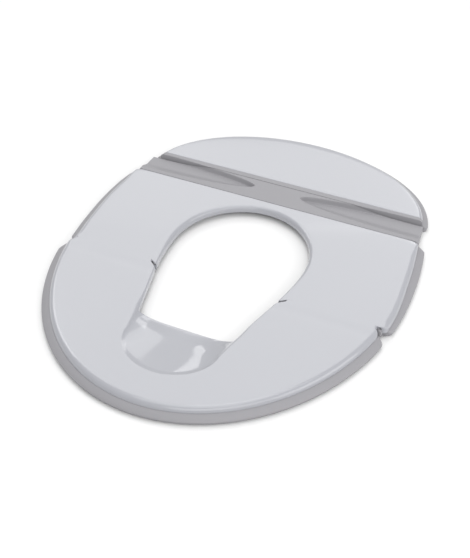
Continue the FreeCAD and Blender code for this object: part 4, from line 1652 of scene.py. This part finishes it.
@dataclass
class GripPads(Assembly):
    """Rubber pads under the plates, each with rounded ends and tread grooves."""

    corner_power: float = 4.5
    edge_round: float = 0.5
    sunk: float = 0.2
    groove: float = 0.45
    groove_pitch: float = 2.6
    groove_level: float = 0.62
    groove_ease: float = 0.3
    tread_share: float = 0.86
    tread_ease: float = 0.06

    def patch(self, node: str) -> Patch:
        """A pad in the box of its node.

        The outline is a superellipse. The underside is a height over shares of the way from the
        middle to the outline, with a round edge and straight grooves across the pad.

        Args:
            node: The pad's node.

        Returns:
            The closed pad.
        """
        low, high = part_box(node)
        centre = (low + high) / 2 / MM
        half = (high - low) / 2 / MM
        turn = full_turn(96)
        unit_x, unit_y = (
            np.sign(unit) * np.abs(unit) ** (2.0 / self.corner_power) for unit in (np.cos(turn), np.sin(turn))
        )
        share = graded([0.0, 0.9, 1.0], [25, 6])[:, None]
        x = share * unit_x * half.x
        y = share * unit_y * half.y
        from_edge = np.clip((1.0 - share) * half.y, 0.0, self.edge_round)
        lift = arc_drop(self.edge_round, self.edge_round - from_edge)
        inside = smoothstep((self.tread_share - share) / self.tread_ease)
        wave = 0.5 + 0.5 * np.cos(x * 2.0 * math.pi / self.groove_pitch)
        cut = self.groove * smoothstep((wave - self.groove_level) / self.groove_ease) * inside
        top_z = self.plan.plate_low + self.sunk
        under = grid(centre.x + x, centre.y + y, low.z / MM + lift + cut)
        rim = grid(centre.x + x[-1:], centre.y + y[-1:], top_z)
        lid = grid(np.full((1, len(turn)), centre.x), centre.y, top_z)
        return Patch(np.concatenate([under, rim, lid]), wrap_columns=True)

    def build(self) -> Pieces:
        """Returns every pad, each riding with its node's body."""
        made = []
        for body, nodes in frame["record"]["behaviour"]["bodies"].items():
            for node in (name for name in nodes if "grip_pad" in name):
                pad = MeshShop.write(node.replace("grip_pad", "tread_pad"), [self.patch(node)])
                made += self.finishes.mount([pad], Slot.GRIP, Body(body), node)
        return made


@dataclass
class Screws(Assembly):
    """The frame's own screws, which keep their shape and get a plated finish."""

    nodes: tuple[str, ...] = ("middle_screws", "front_screws", "flap_screws")

    def build(self) -> Pieces:
        """Returns the screw nodes."""
        screws = [frame["nodes"][node] for node in self.nodes]
        for screw in screws:
            self.finishes.dress(screw, Slot.STEEL)
        return screws


# -------------------- Studio --------------------


def aimed(
    name: str, data: bpy.types.ID, azimuth: float, elevation: float, arm: float, target: Vector,
) -> Piece:
    """Puts a light or a camera at the end of an arm, looking back along it.

    Args:
        name: The new object's name.
        data: The light or the camera.
        azimuth: The arm's direction in degrees, counted from the seat's rear towards +X.
        elevation: The arm's rise in degrees.
        arm: Its length.
        target: The point that it starts from.

    Returns:
        The new object.
    """
    turn, rise = math.radians(azimuth), math.radians(elevation)
    away = Vector((math.sin(turn) * math.cos(rise), math.cos(turn) * math.cos(rise), math.sin(rise)))
    holder = linked(name, data)
    holder.location = target + away * arm
    holder.rotation_euler = (-away).to_track_quat("-Z", "Y").to_euler()
    return holder


@dataclass(frozen=True)
class SoftBox:
    """A rectangular area light that looks at the seat's middle from a direction round it."""

    name: str
    azimuth: float
    elevation: float
    size: tuple[float, float]
    glow: float
    distance: float

    def build(self) -> Piece:
        """Returns the light, whose energy keeps its glow the same at any size."""
        lamp = bpy.data.lights.new(self.name, "AREA")
        lamp.shape = "RECTANGLE"
        lamp.size, lamp.size_y = self.size
        lamp.energy = self.glow * math.pi * self.size[0] * self.size[1]
        return aimed(self.name, lamp, self.azimuth, self.elevation, self.distance, Vector())


@dataclass
class Studio:
    """A white floor under soft lights, and the camera, in metres. Azimuth is from the front."""

    azimuth: float = 24.68
    elevation: float = 40.18
    distance: float = 0.87
    aim: Triple = (0.01363, -0.03487, 0.0116)
    lens: float = 77.0
    sensor_width: float = 36.0
    world_grey: float = 0.66
    floor_grey: float = 0.80
    floor_spread: float = 0.01
    floor_reach_mm: float = 6000.0
    boxes: tuple[SoftBox, ...] = (
        SoftBox("broad_window", -25.5, 45.6, (5.16, 2.69), 1.62, 9.0),
        SoftBox("flap_window", -23.3, 34.4, (4.42, 0.89), 1.75, 9.0),
        SoftBox("low_window", -30.2, 25.4, (0.84, 0.74), 3.0, 9.0),
        SoftBox("scoop_window", -2.4, 29.6, (2.1, 2.0), 2.3, 9.0),
        SoftBox("left_window", -60.0, 40.0, (0.8, 0.8), 3.0, 2.5),
        SoftBox("top_window", -18.0, 67.0, (0.5, 0.4), 2.6, 1.8),
        SoftBox("overhead", 0.0, 89.0, (1.6, 1.6), 1.5, 2.0),
        SoftBox("front_fill", 150.0, 36.0, (2.2, 1.4), 1.7, 2.5),
        SoftBox("side_fill", 95.0, 26.0, (1.2, 0.8), 2.0, 1.5),
    )

    def floor(self) -> None:
        """Lays the floor, a wide square at height 0."""
        reach = np.linspace(-self.floor_reach_mm, self.floor_reach_mm, 3)
        made = MeshShop.write("floor", [Patch(grid(reach[None, :], reach[:, None], 0.0))])
        if made.data.polygons[0].normal.z < 0:
            made.data.flip_normals()
        graph = Graph("studio_floor")
        low, high = (self.floor_grey,) * 3, (self.floor_grey + self.floor_spread,) * 3
        material = graph.finished("BsdfDiffuse", {"Color": graph.between(graph.noise(3.0), low, high)})
        made.data.materials.append(material)

    def world(self) -> None:
        """Sets an even pale surround."""
        world = bpy.data.worlds.new("studio")
        world.use_nodes = True
        world.node_tree.nodes["Background"].inputs[0].default_value = (*(self.world_grey,) * 3, 1.0)
        bpy.context.scene.world = world

    def camera(self) -> None:
        """Sets the camera on its arm round the aim point."""
        lens = bpy.data.cameras.new("camera")
        lens.sensor_fit = "HORIZONTAL"
        lens.sensor_width = self.sensor_width
        lens.lens = self.lens
        lens.clip_start = 0.01
        turn = 180.0 - self.azimuth
        holder = aimed("camera", lens, turn, self.elevation, self.distance, Vector(self.aim))
        bpy.context.scene.camera = holder

    def build(self) -> None:
        """Sets up the whole studio."""
        self.floor()
        self.world()
        for box in self.boxes:
            box.build()
        self.camera()
        bpy.context.scene.view_settings.view_transform = "Standard"


@dataclass
class Seat:
    """The whole seat, made of its sub-assemblies in order."""

    plan: SeatPlan
    finishes: Finishes = field(default_factory=Finishes)

    def parts(self) -> list[Assembly]:
        """Returns the sub-assemblies."""
        plan, finishes = self.plan, self.finishes
        fold = FoldShape(plan)
        scoop = Scoop(plan)
        bridge = RearBridge(plan, finishes)
        return [
            MiddlePanel(plan, finishes, fold),
            FrontPanel(plan, finishes, fold, scoop),
            FoldSkin(plan, finishes, fold),
            MiddleBase(plan, finishes, fold),
            FrontBase(plan, finishes, fold, scoop),
            bridge,
            RearFlap(plan, finishes, bridge),
            FlapHingeSkin(plan, finishes),
            GripPads(plan, finishes),
            Screws(plan, finishes),
        ]

    def build(self) -> None:
        """Builds every sub-assembly and reports its pieces."""
        for part in self.parts():
            for piece in part.build():
                LOG.info("%s: %d faces", piece.name, len(piece.data.polygons))


def main() -> None:
    """Builds the studio and the seat."""
    logging.basicConfig(level=logging.INFO, format="%(message)s")
    Studio().build()
    Seat(SeatPlan.from_frame()).build()


if __name__ == "__main__":
    main()
